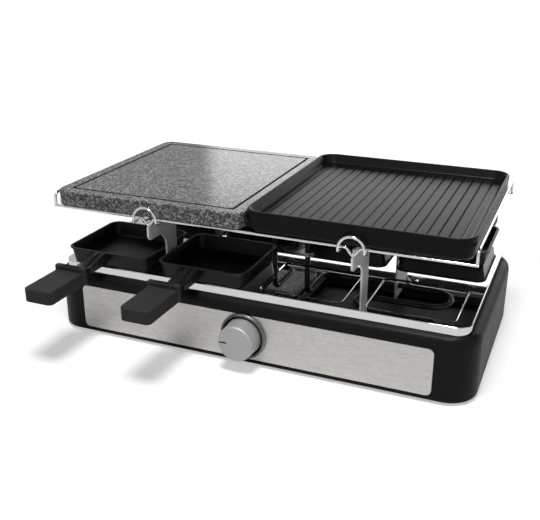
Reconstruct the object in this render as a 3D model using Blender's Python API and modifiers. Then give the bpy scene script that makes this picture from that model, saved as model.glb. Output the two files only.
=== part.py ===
"""Raclette grill. A moulded base carries a polished steel tray. Four stamped posts stand in the
tray and hold a tubular heater and a wire frame, on which a stone plate and a grill plate lie.
Six pans slide on the tray under the heater: two at the front, and four at the rear, drawn out a
little. A thermostat behind the front plate is turned with a knob.

Lengths are in metres, +Z up, +X to the right as seen from the knob's side."""

import math

import bmesh
import bpy
from mathutils import Matrix, Vector

# Fits that every piece shares
GAP = 0.0003
OVERRUN = 0.002

# Base housing, a moulded shell with a ledge that the tray stands on
BASE_WIDTH = 0.486
BASE_DEPTH = 0.254
BASE_CORNER = 0.032
BASE_LIFT = 0.003
BASE_EDGE = 0.002
WALL_TOP = 0.063
SHOULDER_INSET = 0.0085
LEDGE_HEIGHT = 0.0737
LEDGE_WIDTH = 0.0095
HOUSING_WALL = 0.003

# Bottom plate, its vents and the feet that clip into it
BOTTOM_RAISE = 0.001
BOTTOM_SHEET = 0.002
VENT_LENGTH = 0.050
VENT_WIDTH = 0.004
VENT_PITCH = 0.014
VENT_COUNT = 6
VENT_SPREAD_SHARE = 0.4527
FOOT_INSET_X = 0.045
FOOT_INSET_Y = 0.035
FOOT_RADIUS = 0.011
FOOT_STEM_RADIUS = 0.003
FOOT_BARB_RADIUS = 0.0045
FOOT_BARB_HEIGHT = 0.003

# Front plate of brushed steel, let into the housing
FASCIA_INSET = 0.0408
FASCIA_LOW = 0.008
FASCIA_HIGH = 0.0596
FASCIA_CORNER = 0.006
FASCIA_SHEET = 0.0012

# Knob, its ring and the thermostat behind them, about one axis
KNOB_HEIGHT = 0.035
KNOB_RADIUS = 0.0204
KNOB_FACE_RADIUS = 0.0198
KNOB_REACH = 0.023
KNOB_BACK = 0.001
KNOB_EDGE = 0.0015
KNOB_WALL = 0.0022
KNOB_HOLLOW = 0.012
KNOB_HUB_RADIUS = 0.0056
RING_RADIUS = 0.026
RING_THICK = 0.0036
RING_CLEARANCE = 0.0012
POINTER_LENGTH = 0.008
POINTER_WIDTH = 0.0014
POINTER_DEPTH = 0.0007
SHAFT_RADIUS = 0.003
SHAFT_IN_KNOB = 0.0146
SHAFT_IN_BODY = 0.009
BUSHING_RADIUS = 0.005
BUSHING_REACH = 0.0038
BUSHING_CLEARANCE = 0.0003
THERMOSTAT_RADIUS = 0.016
THERMOSTAT_LENGTH = 0.014
THERMOSTAT_TAB = 0.0063
THERMOSTAT_TAB_SHEET = 0.0008
THERMOSTAT_TAB_REACH = 0.009
NUT_RADIUS = 0.008
NUT_THICK = 0.003

# Tray of polished steel, with a shallow place pressed for each of eight pans
TRAY_WIDTH = 0.466
TRAY_DEPTH = 0.237
TRAY_CORNER = 0.016
TRAY_TOP = 0.083
TRAY_SKIRT = 0.009
TRAY_SHEET = 0.001
TRAY_EDGE = 0.0008
PLACE_X = 0.05485
PLACE_PITCH = 0.11615
PLACE_WIDTH = 0.0923
PLACE_Y = 0.0665
PLACE_LENGTH = 0.083
PLACE_CORNER = 0.008
PLACE_DEPTH = 0.0012
PLACE_SLOPE = 0.0012

# Heat shield under the tray
SHIELD_SHEET = 0.0008
SHIELD_FLANGE_INSET = 0.0113
SHIELD_WALL_INSET = 0.022
SHIELD_SLOPE = 0.0028
SHIELD_FLOOR = 0.058

# Posts, stamped sheet standing in the YZ plane, about a place a little to the right
POST_CENTRE_X = 0.002
POST_SPREAD = 0.1137
POST_SHEET = 0.002
POST_ARM = 0.0375
POST_LEG = 0.022
POST_TIP = 0.0025
POST_ARM_HEIGHT = 0.1255
POST_TOP = 0.1486
POST_FILLET = 0.018
POST_TIP_FILLET = 0.006
POST_HOLE = 0.012
POST_SLOT_CLEARANCE = 0.0003

# Heater, one bent tube that is alike in front of its legs and behind them
HEATER_TUBE = 0.0065
HEATER_HEIGHT = 0.1335
HEATER_LEG_X = 0.021
HEATER_LEG_Y = 0.0115
HEATER_LEG_FOOT = 0.049
HEATER_REACH_X = 0.186
HEATER_TURN_X = 0.082
HEATER_NEAR = 0.0182
HEATER_BEND = 0.012
HEATER_CLEARANCE = 0.00035
FLANGE_LENGTH = 0.060
FLANGE_WIDTH = 0.017
FLANGE_SHEET = 0.0018
BUSH_RADIUS = 0.0065
BUSH_LENGTH = 0.0125
BUSH_FLOOR = 0.0035

# Wire frame that carries the two plates, a little to the right, and the stops beside them
FRAME_X = 0.0016
WIRE = 0.003
RAIL_HEIGHT = 0.1506
RAIL_INSET = 0.0021
RAIL_SPREAD = 0.2315
RAIL_END = 0.0015
SIDE_HEIGHT = 0.165
SIDE_BEND = 0.005
DIP_DEPTH = 0.0077
DIP_HALF_WIDTH = 0.0085
STOP_SPAN = 0.027
STOP_CLEARANCE = 0.0054
STOP_SPRING_HEIGHT = 0.1508
STOP_BEND = 0.003
STOP_TAIL = 0.0075
FRAME_CLEARANCE_LEFT = 0.0004
FRAME_CLEARANCE_RIGHT = 0.0012

# Stone plate
STONE_RIGHT = -0.003
STONE_DEPTH = 0.2512
STONE_THICK = 0.017
STONE_CORNER = 0.012
STONE_CHAMFER = 0.001
GROOVE_INSET = 0.013
GROOVE_WIDTH = 0.003
GROOVE_DEPTH = 0.002
GROOVE_SLOPE = 0.0006

# Grill plate of cast metal
GRILL_LEFT = -0.001
GRILL_OVER_STONE = 0.002
GRILL_RIM_TOP = 0.1752
GRILL_CORNER = 0.019
GRILL_RIM = 0.0028
GRILL_RIM_EDGE = 0.0006
GRILL_WALL_SLOPE = 0.0055
GRILL_FLOOR = 0.1654
GRILL_FLOOR_FILLET = 0.003
GRILL_BASE_INSET = 0.007
GRILL_BASE_DROP = 0.0017
GRILL_SEAT_INSET = 0.0032
GRILL_SIDE_INSET = 0.0012
GRILL_SIDE_RISE = 0.004
GRILL_FOOT_WIDTH = 0.008
GRILL_PLATE_THICK = 0.005
GRILL_GROOVES = 19
GRILL_GROOVE_PITCH = 0.01086
GRILL_GROOVE_WIDTH = 0.0024
GRILL_GROOVE_DEPTH = 0.0016
GRILL_GROOVE_END = 0.014

# Pans, with a hollow neck and a moulded grip that is set to one side
PAN_WIDTH = 0.105
PAN_LENGTH = 0.101
PAN_HEIGHT = 0.018
PAN_CORNER = 0.012
PAN_SHEET = 0.0015
PAN_RIM = 0.0018
PAN_RIM_THICK = 0.0015
PAN_FLARE = 0.0032
PAN_FLOOR_FILLET = 0.0013
PAN_Y = 0.0715
PAN_DRAWN_OUT = 0.020
NECK_OFFSET = 0.006
NECK_TOP_WIDTH = 0.013
NECK_BASE_WIDTH = 0.0142
NECK_LOW = 0.0885
NECK_RIB = 0.0052
NECK_GROOVE = 0.002
NECK_DROP = 0.006
WEB_ROOT = 0.030
WEB_END = 0.026
TONGUE_OFFSET = 0.012
TONGUE_WIDTH = 0.011
TONGUE_SHEET = 0.0025
TONGUE_TOP = 0.0015
TONGUE_LENGTH = 0.036
GRIP_OFFSET = 0.0213
GRIP_WIDTH = 0.0345
GRIP_TOP = 0.091
GRIP_THICK = 0.015
GRIP_ROOT = 0.0825
GRIP_END = 0.1465
GRIP_CORNER = 0.006
GRIP_EDGE = 0.0012
GUARD_THICK = 0.007
GUARD_RISE = 0.005
GUARD_OVERHANG = 0.002
GUARD_EDGE = 0.0012

# Supply parts inside the base and the bush that a lead would enter by
GLAND_INSET = 0.073
GLAND_HEIGHT = 0.030
GLAND_RADIUS = 0.0065
GLAND_BORE = 0.0042
GLAND_FLANGE_RADIUS = 0.0095
GLAND_FLANGE = 0.0022
GLAND_INSIDE = 0.008
BLOCK_LENGTH = 0.036
BLOCK_WIDTH = 0.018
BLOCK_HEIGHT = 0.016
BLOCK_WELL_RADIUS = 0.003
BLOCK_WELL_DEPTH = 0.009
BLOCK_INSET = 0.042

# How finely round shapes are divided
CORNER_STEPS = 4
SMALL_CORNER_STEPS = 3
TURN_STEPS = 28
SMALL_TURN_STEPS = 16
HIDDEN_TURN_STEPS = 12
SHOULDER_STEPS = 3
SMOOTH_ANGLE = math.radians(35)

# Heights and places that follow from the sizes above
HALF_WIDTH = BASE_WIDTH / 2
HALF_DEPTH = BASE_DEPTH / 2
FASCIA_WIDTH = BASE_WIDTH - 2 * FASCIA_INSET
GLAND_X = GLAND_INSET - HALF_WIDTH
BLOCK_Y = HALF_DEPTH - BLOCK_INSET
RAIL_Y = STONE_DEPTH / 2 - RAIL_INSET
STOP_Y = STONE_DEPTH / 2 + STOP_CLEARANCE
GRILL_DEPTH = STONE_DEPTH + GRILL_OVER_STONE
STONE_LEFT = FRAME_X - RAIL_SPREAD + WIRE / 2 + FRAME_CLEARANCE_LEFT
GRILL_RIGHT = FRAME_X + RAIL_SPREAD - WIRE / 2 - FRAME_CLEARANCE_RIGHT
POST_OUTER_Y = RAIL_Y + POST_TIP
POST_INNER_Y = POST_OUTER_Y - POST_ARM - POST_LEG
HEATER_FAR = POST_INNER_Y + POST_HOLE - HEATER_LEG_Y
HEATER_TURN = (HEATER_FAR - HEATER_NEAR) / 2
REST_HEIGHT = RAIL_HEIGHT + WIRE / 2 + GAP
PAN_FLOOR = TRAY_TOP + GAP
PLACE_CENTRES = [side * (PLACE_X + step * PLACE_PITCH) for side in (-1, 1) for step in (0, 1)]


def clear_scene():
    for obj in list(bpy.data.objects):
        bpy.data.objects.remove(obj, do_unlink=True)


def make_collection(name):
    collection = bpy.data.collections.new(name)
    bpy.context.scene.collection.children.link(collection)
    return collection


def make_material(name, colour, roughness, metallic):
    material = bpy.data.materials.new(name)
    material.use_nodes = True
    shader = material.node_tree.nodes["Principled BSDF"]
    shader.inputs["Base Color"].default_value = (*colour, 1)
    shader.inputs["Roughness"].default_value = roughness
    shader.inputs["Metallic"].default_value = metallic
    return material


clear_scene()
GRILL = make_collection("raclette_grill")
HELPERS = make_collection("cutters")
HELPERS.hide_render = True
CENTRE = bpy.data.objects.new("grill_centre", None)
CENTRE.location = (0, -PAN_DRAWN_OUT / 2, 0)
GRILL.objects.link(CENTRE)

MATERIALS = {
    "housing": make_material("housing", (0.022, 0.022, 0.023), 0.42, 0),
    "fascia": make_material("fascia", (0.56, 0.54, 0.52), 0.34, 1),
    "polished": make_material("polished", (0.72, 0.71, 0.69), 0.08, 1),
    "knob": make_material("knob", (0.42, 0.42, 0.42), 0.4, 0.6),
    "dark_ring": make_material("dark_ring", (0.05, 0.05, 0.05), 0.2, 0.8),
    "rubber": make_material("rubber", (0.02, 0.02, 0.02), 0.8, 0),
    "zinc": make_material("zinc", (0.5, 0.5, 0.5), 0.45, 1),
    "brass": make_material("brass", (0.6, 0.45, 0.2), 0.35, 1),
    "ceramic": make_material("ceramic", (0.8, 0.77, 0.7), 0.6, 0),
    "heater": make_material("heater", (0.03, 0.045, 0.032), 0.4, 0.7),
    "post": make_material("post", (0.4, 0.4, 0.39), 0.38, 1),
    "chrome": make_material("chrome", (0.8, 0.8, 0.8), 0.1, 1),
    "stone": make_material("stone", (0.3, 0.3, 0.3), 0.75, 0),
    "cast": make_material("cast", (0.05, 0.05, 0.05), 0.55, 0),
    "pan": make_material("pan", (0.02, 0.02, 0.02), 0.35, 0.2),
    "grip": make_material("grip", (0.03, 0.03, 0.03), 0.55, 0),
}


def smoothed(mesh):
    mesh.shade_smooth()
    mesh.set_sharp_from_angle(angle=SMOOTH_ANGLE)


def add_piece(obj, material, origin=(0, 0, 0)):
    """Adds a finished piece to the grill, with its own origin moved to the given point."""
    origin = Vector(origin)
    if origin.length:
        obj.data.transform(Matrix.Translation(-origin))
        obj.location = obj.location + origin
    obj.data.materials.append(MATERIALS[material])
    GRILL.objects.link(obj)
    obj.parent = CENTRE
    return obj


def add_helper(obj):
    """Keeps an object that cuts or joins a piece, and isn't a piece itself."""
    HELPERS.objects.link(obj)
    obj.parent = CENTRE
    obj.hide_render = True
    obj.display_type = "WIRE"
    return obj


def boolean(obj, operation, helper):
    modifier = obj.modifiers.new(helper.name, "BOOLEAN")
    modifier.operation = operation
    modifier.object = add_helper(helper)
    return obj


def cut(obj, helper):
    return boolean(obj, "DIFFERENCE", helper)


def join(obj, helper):
    return boolean(obj, "UNION", helper)


def mesh_object(name, bm):
    bmesh.ops.recalc_face_normals(bm, faces=bm.faces)
    mesh = bpy.data.meshes.new(name)
    bm.to_mesh(mesh)
    bm.free()
    smoothed(mesh)
    return bpy.data.objects.new(name, mesh)


def baked(obj):
    """The object's mesh with its modifiers applied, for copies to share."""
    if not obj.users_collection:
        add_helper(obj)
    graph = bpy.context.evaluated_depsgraph_get()
    graph.update()
    mesh = bpy.data.meshes.new_from_object(obj.evaluated_get(graph))
    smoothed(mesh)
    return mesh


def ring(half_x, half_y, corner, height, centre=(0, 0), steps=CORNER_STEPS):
    """A rounded rectangle's points at one height, anticlockwise from above."""
    points = []
    for quarter in range(4):
        across = half_x - corner if quarter in (0, 3) else corner - half_x
        along = half_y - corner if quarter in (0, 1) else corner - half_y
        for step in range(steps + 1):
            angle = (quarter + step / steps) * math.pi / 2
            points.append(
                (
                    centre[0] + across + corner * math.cos(angle),
                    centre[1] + along + corner * math.sin(angle),
                    height,
                )
            )
    return points


def add_loft(bm, rings, closed=False):
    """Bridges rings of equal count. A closed loft returns to its first ring, and has no caps."""
    loops = [[bm.verts.new(point) for point in points] for points in rings]
    following = loops[1:] + loops[:1] if closed else loops[1:]
    for lower, upper in zip(loops, following):
        for i in range(len(lower)):
            j = (i + 1) % len(lower)
            bm.faces.new((lower[i], lower[j], upper[j], upper[i]))
    if not closed:
        bm.faces.new(loops[0])
        bm.faces.new(loops[-1])


def loft(name, rings, closed=False):
    bm = bmesh.new()
    add_loft(bm, rings, closed)
    return mesh_object(name, bm)


def loft_group(name, groups):
    """Several separate closed lofts in one helper."""
    bm = bmesh.new()
    for rings in groups:
        add_loft(bm, rings)
    return mesh_object(name, bm)


def add_block(bm, low, high):
    made = bmesh.ops.create_cube(bm, size=1)["verts"]
    low, high = Vector(low), Vector(high)
    bmesh.ops.scale(bm, vec=high - low, verts=made)
    bmesh.ops.translate(bm, vec=(low + high) / 2, verts=made)


def blocks(name, corners):
    """One object of separate boxes, each from its lowest and highest corner."""
    bm = bmesh.new()
    for low, high in corners:
        add_block(bm, low, high)
    return mesh_object(name, bm)


def rods(name, radius, ends, steps=SMALL_TURN_STEPS):
    """One object of separate cylinders, each between two points."""
    bm = bmesh.new()
    for start, end in ends:
        start, end = Vector(start), Vector(end)
        run = end - start
        turn = Vector((0, 0, 1)).rotation_difference(run).to_matrix().to_4x4()
        place = Matrix.Translation((start + end) / 2) @ turn
        bmesh.ops.create_cone(
            bm,
            cap_ends=True,
            segments=steps,
            radius1=radius,
            radius2=radius,
            depth=run.length,
            matrix=place,
        )
    return mesh_object(name, bm)


def turned(name, profile, steps=TURN_STEPS, closed=False):
    """A profile of (radius, height) turned about Z. It runs down its outer side."""
    mesh = bpy.data.meshes.new(name)
    edges = [(i, i + 1) for i in range(len(profile) - 1)]
    if closed:
        edges.append((len(profile) - 1, 0))
    mesh.from_pydata([(radius, 0, height) for radius, height in profile], edges, [])
    obj = bpy.data.objects.new(name, mesh)
    screw = obj.modifiers.new("turn", "SCREW")
    screw.axis = "Z"
    screw.steps = screw.render_steps = steps
    screw.use_merge_vertices = True
    screw.merge_threshold = GAP / 30
    screw.use_smooth_shade = True
    return obj


def face_front(obj, forward, height, x=0):
    """Turns an object made about Z so that its axis points to the front."""
    obj.rotation_euler = (math.pi / 2, 0, 0)
    obj.location = (x, -forward, height)
    return obj


def outline_curve(name, outlines, thickness):
    """A flat plate from 2D outlines. Every outline after the first is a hole."""
    curve = bpy.data.curves.new(name, "CURVE")
    curve.dimensions = "2D"
    curve.fill_mode = "BOTH"
    curve.extrude = thickness / 2
    for points in outlines:
        spline = curve.splines.new("POLY")
        spline.points.add(len(points) - 1)
        for point, (x, y) in zip(spline.points, points):
            point.co = (x, y, 0, 1)
        spline.use_cyclic_u = True
    return bpy.data.objects.new(name, curve)


def tube(name, points, diameter):
    """A round wire or tube along a line of points, with filled ends."""
    curve = bpy.data.curves.new(name, "CURVE")
    curve.dimensions = "3D"
    curve.bevel_depth = diameter / 2
    curve.bevel_resolution = 2
    curve.use_fill_caps = True
    spline = curve.splines.new("POLY")
    spline.points.add(len(points) - 1)
    for point, place in zip(spline.points, points):
        point.co = (*place, 1)
        point.radius = 1
    return bpy.data.objects.new(name, curve)


def arc(centre, radius, start, end, steps):
    """Points on a circle in a plane, from one angle to another, in degrees."""
    points = []
    for step in range(steps + 1):
        angle = math.radians(start + (end - start) * step / steps)
        points.append((centre[0] + radius * math.cos(angle), centre[1] + radius * math.sin(angle)))
    return points


def circle(centre, radius, steps=SMALL_TURN_STEPS):
    return arc(centre, radius, 0, 360, steps)[:-1]


def bent(corners, steps=CORNER_STEPS):
    """A line of points through (place, bend radius) corners, with each corner rounded."""
    places = [Vector(place) for place, _ in corners]
    points = [places[0]]
    for before, (place, radius), after in zip(places, corners[1:-1], places[2:]):
        place = Vector(place)
        inward = (before - place).normalized()
        outward = (after - place).normalized()
        half = inward.angle(outward) / 2
        middle = place + (inward + outward).normalized() * radius / math.sin(half)
        start = place + inward * radius / math.tan(half) - middle
        end = place + outward * radius / math.tan(half) - middle
        for step in range(steps + 1):
            turn = start.slerp(end, step / steps).normalized() * radius
            if (middle + turn - points[-1]).length > GAP:
                points.append(middle + turn)
    points.append(places[-1])
    return points


def base_corner(inset):
    """The housing's corner radius, which narrows to the tray's along the shoulder."""
    if inset <= SHOULDER_INSET:
        return BASE_CORNER - inset * (BASE_CORNER - TRAY_CORNER - GAP) / SHOULDER_INSET
    return max(TRAY_CORNER + GAP - (inset - SHOULDER_INSET), HOUSING_WALL)


def base_ring(height, inset, corner=None):
    if corner is None:
        corner = base_corner(inset)
    return ring(HALF_WIDTH - inset, HALF_DEPTH - inset, corner, height)


def make_housing():
    rise = LEDGE_HEIGHT - WALL_TOP
    ledge_inset = SHOULDER_INSET + LEDGE_WIDTH
    under_ledge = LEDGE_HEIGHT - HOUSING_WALL
    rings = [
        base_ring(BASE_LIFT, BASE_EDGE),
        base_ring(BASE_LIFT + BASE_EDGE, 0),
        base_ring(WALL_TOP, 0),
    ]
    for step in range(1, SHOULDER_STEPS + 1):
        angle = math.pi / 2 * step / SHOULDER_STEPS
        inset = SHOULDER_INSET * (1 - math.cos(angle))
        rings.append(base_ring(WALL_TOP + rise * math.sin(angle), inset))
    rings += [
        base_ring(LEDGE_HEIGHT, ledge_inset),
        base_ring(under_ledge, ledge_inset),
        base_ring(under_ledge, SHOULDER_INSET + GAP),
        base_ring(WALL_TOP - HOUSING_WALL, HOUSING_WALL, BASE_CORNER - HOUSING_WALL),
        base_ring(BASE_LIFT, HOUSING_WALL, BASE_CORNER - HOUSING_WALL),
    ]
    housing = loft("housing", rings, closed=True)
    cut(housing, fascia_block("fascia_recess", GAP, FASCIA_SHEET + GAP, OVERRUN))
    knob_hole = rods(
        "knob_hole",
        BUSHING_RADIUS + BUSHING_CLEARANCE,
        [
            (
                (0, -HALF_DEPTH - OVERRUN, KNOB_HEIGHT),
                (0, -HALF_DEPTH + HOUSING_WALL + OVERRUN, KNOB_HEIGHT),
            )
        ],
    )
    cut(housing, knob_hole)
    gland_hole = rods(
        "gland_hole",
        GLAND_RADIUS + GAP,
        [
            (
                (GLAND_X, HALF_DEPTH - HOUSING_WALL - OVERRUN, GLAND_HEIGHT),
                (GLAND_X, HALF_DEPTH + OVERRUN, GLAND_HEIGHT),
            )
        ],
    )
    cut(housing, gland_hole)
    return add_piece(housing, "housing")


def fascia_block(name, growth, depth, proud):
    """The front plate's block, grown all round, from a depth behind the front to proud of it."""
    half_x = FASCIA_WIDTH / 2 + growth
    half_z = (FASCIA_HIGH - FASCIA_LOW) / 2 + growth
    middle = (0, (FASCIA_HIGH + FASCIA_LOW) / 2)
    corner = FASCIA_CORNER + growth
    back = ring(half_x, half_z, corner, HALF_DEPTH - depth, middle)
    front = ring(half_x, half_z, corner, HALF_DEPTH + proud, middle)
    block = loft(name, [back, front])
    block.data.transform(Matrix.Rotation(math.pi / 2, 4, "X"))
    return block


def make_fascia():
    fascia = fascia_block("front_fascia", 0, FASCIA_SHEET, 0)
    hole = rods(
        "fascia_hole",
        BUSHING_RADIUS + BUSHING_CLEARANCE,
        [
            (
                (0, -HALF_DEPTH - OVERRUN, KNOB_HEIGHT),
                (0, -HALF_DEPTH + FASCIA_SHEET + OVERRUN, KNOB_HEIGHT),
            )
        ],
    )
    cut(fascia, hole)
    return add_piece(fascia, "fascia")


def foot_places():
    across, along = HALF_WIDTH - FOOT_INSET_X, HALF_DEPTH - FOOT_INSET_Y
    return [(x * across, y * along) for y in (-1, 1) for x in (-1, 1)]


def make_bottom_plate():
    low = BASE_LIFT + BOTTOM_RAISE
    high = low + BOTTOM_SHEET
    inset = HOUSING_WALL + GAP
    corner = BASE_CORNER - inset
    plate = loft("bottom_plate", [base_ring(low, inset, corner), base_ring(high, inset, corner)])
    slots = []
    for side in (-1, 1):
        for step in range(VENT_COUNT):
            y = (step - (VENT_COUNT - 1) / 2) * VENT_PITCH
            x = side * HALF_WIDTH * VENT_SPREAD_SHARE
            slots.append(
                (
                    (x - VENT_LENGTH / 2, y - VENT_WIDTH / 2, low - OVERRUN),
                    (x + VENT_LENGTH / 2, y + VENT_WIDTH / 2, high + OVERRUN),
                )
            )
    cut(plate, blocks("vent_slots", slots))
    stems = [((x, y, low - OVERRUN), (x, y, high + OVERRUN)) for x, y in foot_places()]
    cut(plate, rods("stem_holes", FOOT_STEM_RADIUS + GAP, stems))
    return add_piece(plate, "zinc")


def make_feet():
    low = BASE_LIFT + BOTTOM_RAISE
    high = low + BOTTOM_SHEET
    profile = [
        (0, high + FOOT_BARB_HEIGHT),
        (FOOT_STEM_RADIUS, high + FOOT_BARB_HEIGHT),
        (FOOT_BARB_RADIUS, high + GAP),
        (FOOT_STEM_RADIUS, high + GAP),
        (FOOT_STEM_RADIUS, low - GAP),
        (FOOT_RADIUS, low - GAP),
        (FOOT_RADIUS, BASE_EDGE / 2),
        (FOOT_RADIUS - BASE_EDGE / 2, 0),
        (0, 0),
    ]
    mesh = baked(turned("foot_form", profile, HIDDEN_TURN_STEPS))
    for name, place in zip(("front_left", "front_right", "rear_left", "rear_right"), foot_places()):
        foot = bpy.data.objects.new("foot_" + name, mesh)
        foot.location = (*place, 0)
        GRILL.objects.link(foot)
        foot.parent = CENTRE
    mesh.materials.append(MATERIALS["rubber"])


def make_knob():
    """The knob with the hollow behind it, the hub on the shaft and a groove for the pointer."""
    bore = SHAFT_RADIUS + GAP
    profile = [
        (0, KNOB_REACH),
        (KNOB_FACE_RADIUS - KNOB_EDGE, KNOB_REACH),
        (KNOB_FACE_RADIUS, KNOB_REACH - KNOB_EDGE),
        (KNOB_RADIUS, KNOB_BACK),
        (KNOB_RADIUS - KNOB_WALL, KNOB_BACK),
        (KNOB_RADIUS - KNOB_WALL, KNOB_HOLLOW),
        (KNOB_HUB_RADIUS, KNOB_HOLLOW),
        (KNOB_HUB_RADIUS, BUSHING_REACH + KNOB_BACK),
        (bore, BUSHING_REACH + KNOB_BACK),
        (bore, SHAFT_IN_KNOB + GAP),
        (0, SHAFT_IN_KNOB + GAP),
    ]
    knob = face_front(turned("knob", profile), HALF_DEPTH, KNOB_HEIGHT)
    cut(knob, pointer_block("pointer_groove", GAP, OVERRUN))
    add_piece(knob, "knob")
    pointer = pointer_block("knob_pointer", 0, 0)
    add_piece(pointer, "rubber", (0, -HALF_DEPTH, KNOB_HEIGHT))
    profile = [
        (0, SHAFT_IN_KNOB),
        (SHAFT_RADIUS, SHAFT_IN_KNOB),
        (SHAFT_RADIUS, -SHAFT_IN_BODY),
        (0, -SHAFT_IN_BODY),
    ]
    shaft = turned("thermostat_shaft", profile, SMALL_TURN_STEPS)
    add_piece(face_front(shaft, HALF_DEPTH, KNOB_HEIGHT), "brass")


def pointer_block(name, growth, proud):
    """The pointer at the left of the knob's face, or the groove that holds it."""
    outer = -(KNOB_FACE_RADIUS - KNOB_EDGE - GAP * 2)
    face = -HALF_DEPTH - KNOB_REACH
    low = (outer - growth, face - proud, KNOB_HEIGHT - POINTER_WIDTH / 2 - growth)
    high = (
        outer + POINTER_LENGTH + growth,
        face + POINTER_DEPTH + growth,
        KNOB_HEIGHT + POINTER_WIDTH / 2 + growth,
    )
    return blocks(name, [(low, high)])


def make_knob_ring():
    inner = KNOB_RADIUS + RING_CLEARANCE
    chamfer = RING_THICK / 3
    profile = [
        (inner, RING_THICK - chamfer),
        (inner + chamfer, RING_THICK),
        (RING_RADIUS - chamfer, RING_THICK),
        (RING_RADIUS, RING_THICK - chamfer),
        (RING_RADIUS, GAP),
        (inner, GAP),
    ]
    knob_ring = turned("knob_ring", profile, closed=True)
    add_piece(face_front(knob_ring, HALF_DEPTH, KNOB_HEIGHT), "dark_ring")


def make_thermostat():
    bore = SHAFT_RADIUS + GAP
    front = -HOUSING_WALL - GAP
    back = front - THERMOSTAT_LENGTH
    profile = [
        (0, -SHAFT_IN_BODY - GAP),
        (bore, -SHAFT_IN_BODY - GAP),
        (bore, BUSHING_REACH),
        (BUSHING_RADIUS, BUSHING_REACH),
        (BUSHING_RADIUS, front),
        (THERMOSTAT_RADIUS, front),
        (THERMOSTAT_RADIUS, back),
        (0, back),
    ]
    body = turned("thermostat_body", profile, SMALL_TURN_STEPS)
    tabs = []
    for side in (-1, 1):
        x = side * THERMOSTAT_RADIUS / 2
        half_x, half_y = THERMOSTAT_TAB / 2, THERMOSTAT_TAB_SHEET / 2
        low = (x - half_x, -half_y, back - THERMOSTAT_TAB_REACH)
        tabs.append((low, (x + half_x, half_y, back + OVERRUN)))
    form = baked(join(body, blocks("thermostat_tabs", tabs)))
    bpy.data.objects.remove(body)
    body = bpy.data.objects.new("thermostat_body", form)
    add_piece(face_front(body, HALF_DEPTH, KNOB_HEIGHT), "ceramic")
    hexagon = arc((0, 0), NUT_RADIUS, 0, 300, 5)
    hole = circle((0, 0), BUSHING_RADIUS + BUSHING_CLEARANCE)
    nut = outline_curve("thermostat_nut", [hexagon, hole], NUT_THICK)
    add_piece(face_front(nut, HALF_DEPTH + GAP + NUT_THICK / 2, KNOB_HEIGHT), "brass")


def place_rings(growth, top, bottom):
    """The pressed places' lofts, grown all round, each from a top to a bottom height."""
    slope = PLACE_SLOPE * (top - bottom) / PLACE_DEPTH
    groups = []
    for x in PLACE_CENTRES:
        for side in (-1, 1):
            centre = (x, side * PLACE_Y)
            half_x = PLACE_WIDTH / 2 + growth
            half_y = PLACE_LENGTH / 2 + growth
            corner = PLACE_CORNER + growth
            upper = ring(half_x, half_y, corner, top, centre, SMALL_CORNER_STEPS)
            half_x, half_y, corner = half_x - slope, half_y - slope, corner - slope
            lower = ring(half_x, half_y, corner, bottom, centre, SMALL_CORNER_STEPS)
            groups.append([lower, upper])
    return groups


def make_tray():
    """Rings run down inside the skirt, under its edge and up outside to the top."""
    foot = TRAY_TOP - TRAY_SKIRT
    under = TRAY_TOP - TRAY_SHEET

    def tray_ring(height, inset):
        return ring(TRAY_WIDTH / 2 - inset, TRAY_DEPTH / 2 - inset, TRAY_CORNER - inset, height)

    rings = [
        tray_ring(under, TRAY_SHEET + TRAY_EDGE),
        tray_ring(under - TRAY_EDGE, TRAY_SHEET),
        tray_ring(foot, TRAY_SHEET),
        tray_ring(foot, 0),
        tray_ring(TRAY_TOP - TRAY_EDGE, 0),
        tray_ring(TRAY_TOP, TRAY_EDGE),
    ]
    tray = loft("tray", rings)
    floor = TRAY_TOP - PLACE_DEPTH
    bumps = place_rings(TRAY_SHEET, under + TRAY_SHEET / 2, floor - TRAY_SHEET)
    join(tray, loft_group("place_bumps", bumps))
    cut(tray, loft_group("place_recesses", place_rings(0, TRAY_TOP + OVERRUN / 2, floor)))
    low, high = floor - TRAY_SHEET - OVERRUN, TRAY_TOP + OVERRUN
    cut(tray, blocks("post_slots", post_slots(low, high)))
    cut(tray, leg_rods("leg_holes", low, high))
    return add_piece(tray, "polished")


def leg_rods(name, low, high):
    """Cutters for the heater's two legs, from one height to another."""
    places = [(x * HEATER_LEG_X, HEATER_LEG_Y) for x in (-1, 1)]
    ends = [((*place, low), (*place, high)) for place in places]
    return rods(name, HEATER_TUBE / 2 + GAP, ends)


def post_slots(low, high):
    half = POST_SHEET / 2 + POST_SLOT_CLEARANCE
    inner = POST_INNER_Y - POST_SLOT_CLEARANCE
    outer = POST_INNER_Y + POST_LEG + POST_SLOT_CLEARANCE
    slots = []
    for x in post_places():
        slots.append(((x - half, inner, low), (x + half, outer, high)))
        slots.append(((x - half, -outer, low), (x + half, -inner, high)))
    return slots


def make_heat_shield():
    """A dished sheet whose flange lies under the housing's ledge."""
    top = LEDGE_HEIGHT - HOUSING_WALL - GAP
    rings = [
        base_ring(SHIELD_FLOOR + SHIELD_SHEET, SHIELD_WALL_INSET + SHIELD_SLOPE),
        base_ring(top, SHIELD_WALL_INSET),
        base_ring(top, SHIELD_FLANGE_INSET),
        base_ring(top - SHIELD_SHEET, SHIELD_FLANGE_INSET),
        base_ring(top - SHIELD_SHEET, SHIELD_WALL_INSET - SHIELD_SHEET),
        base_ring(SHIELD_FLOOR, SHIELD_WALL_INSET + SHIELD_SLOPE - SHIELD_SHEET),
    ]
    shield = loft("heat_shield", rings)
    low, high = SHIELD_FLOOR - OVERRUN, SHIELD_FLOOR + SHIELD_SHEET + OVERRUN
    cut(shield, leg_rods("shield_holes", low, high))
    return add_piece(shield, "zinc")


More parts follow.
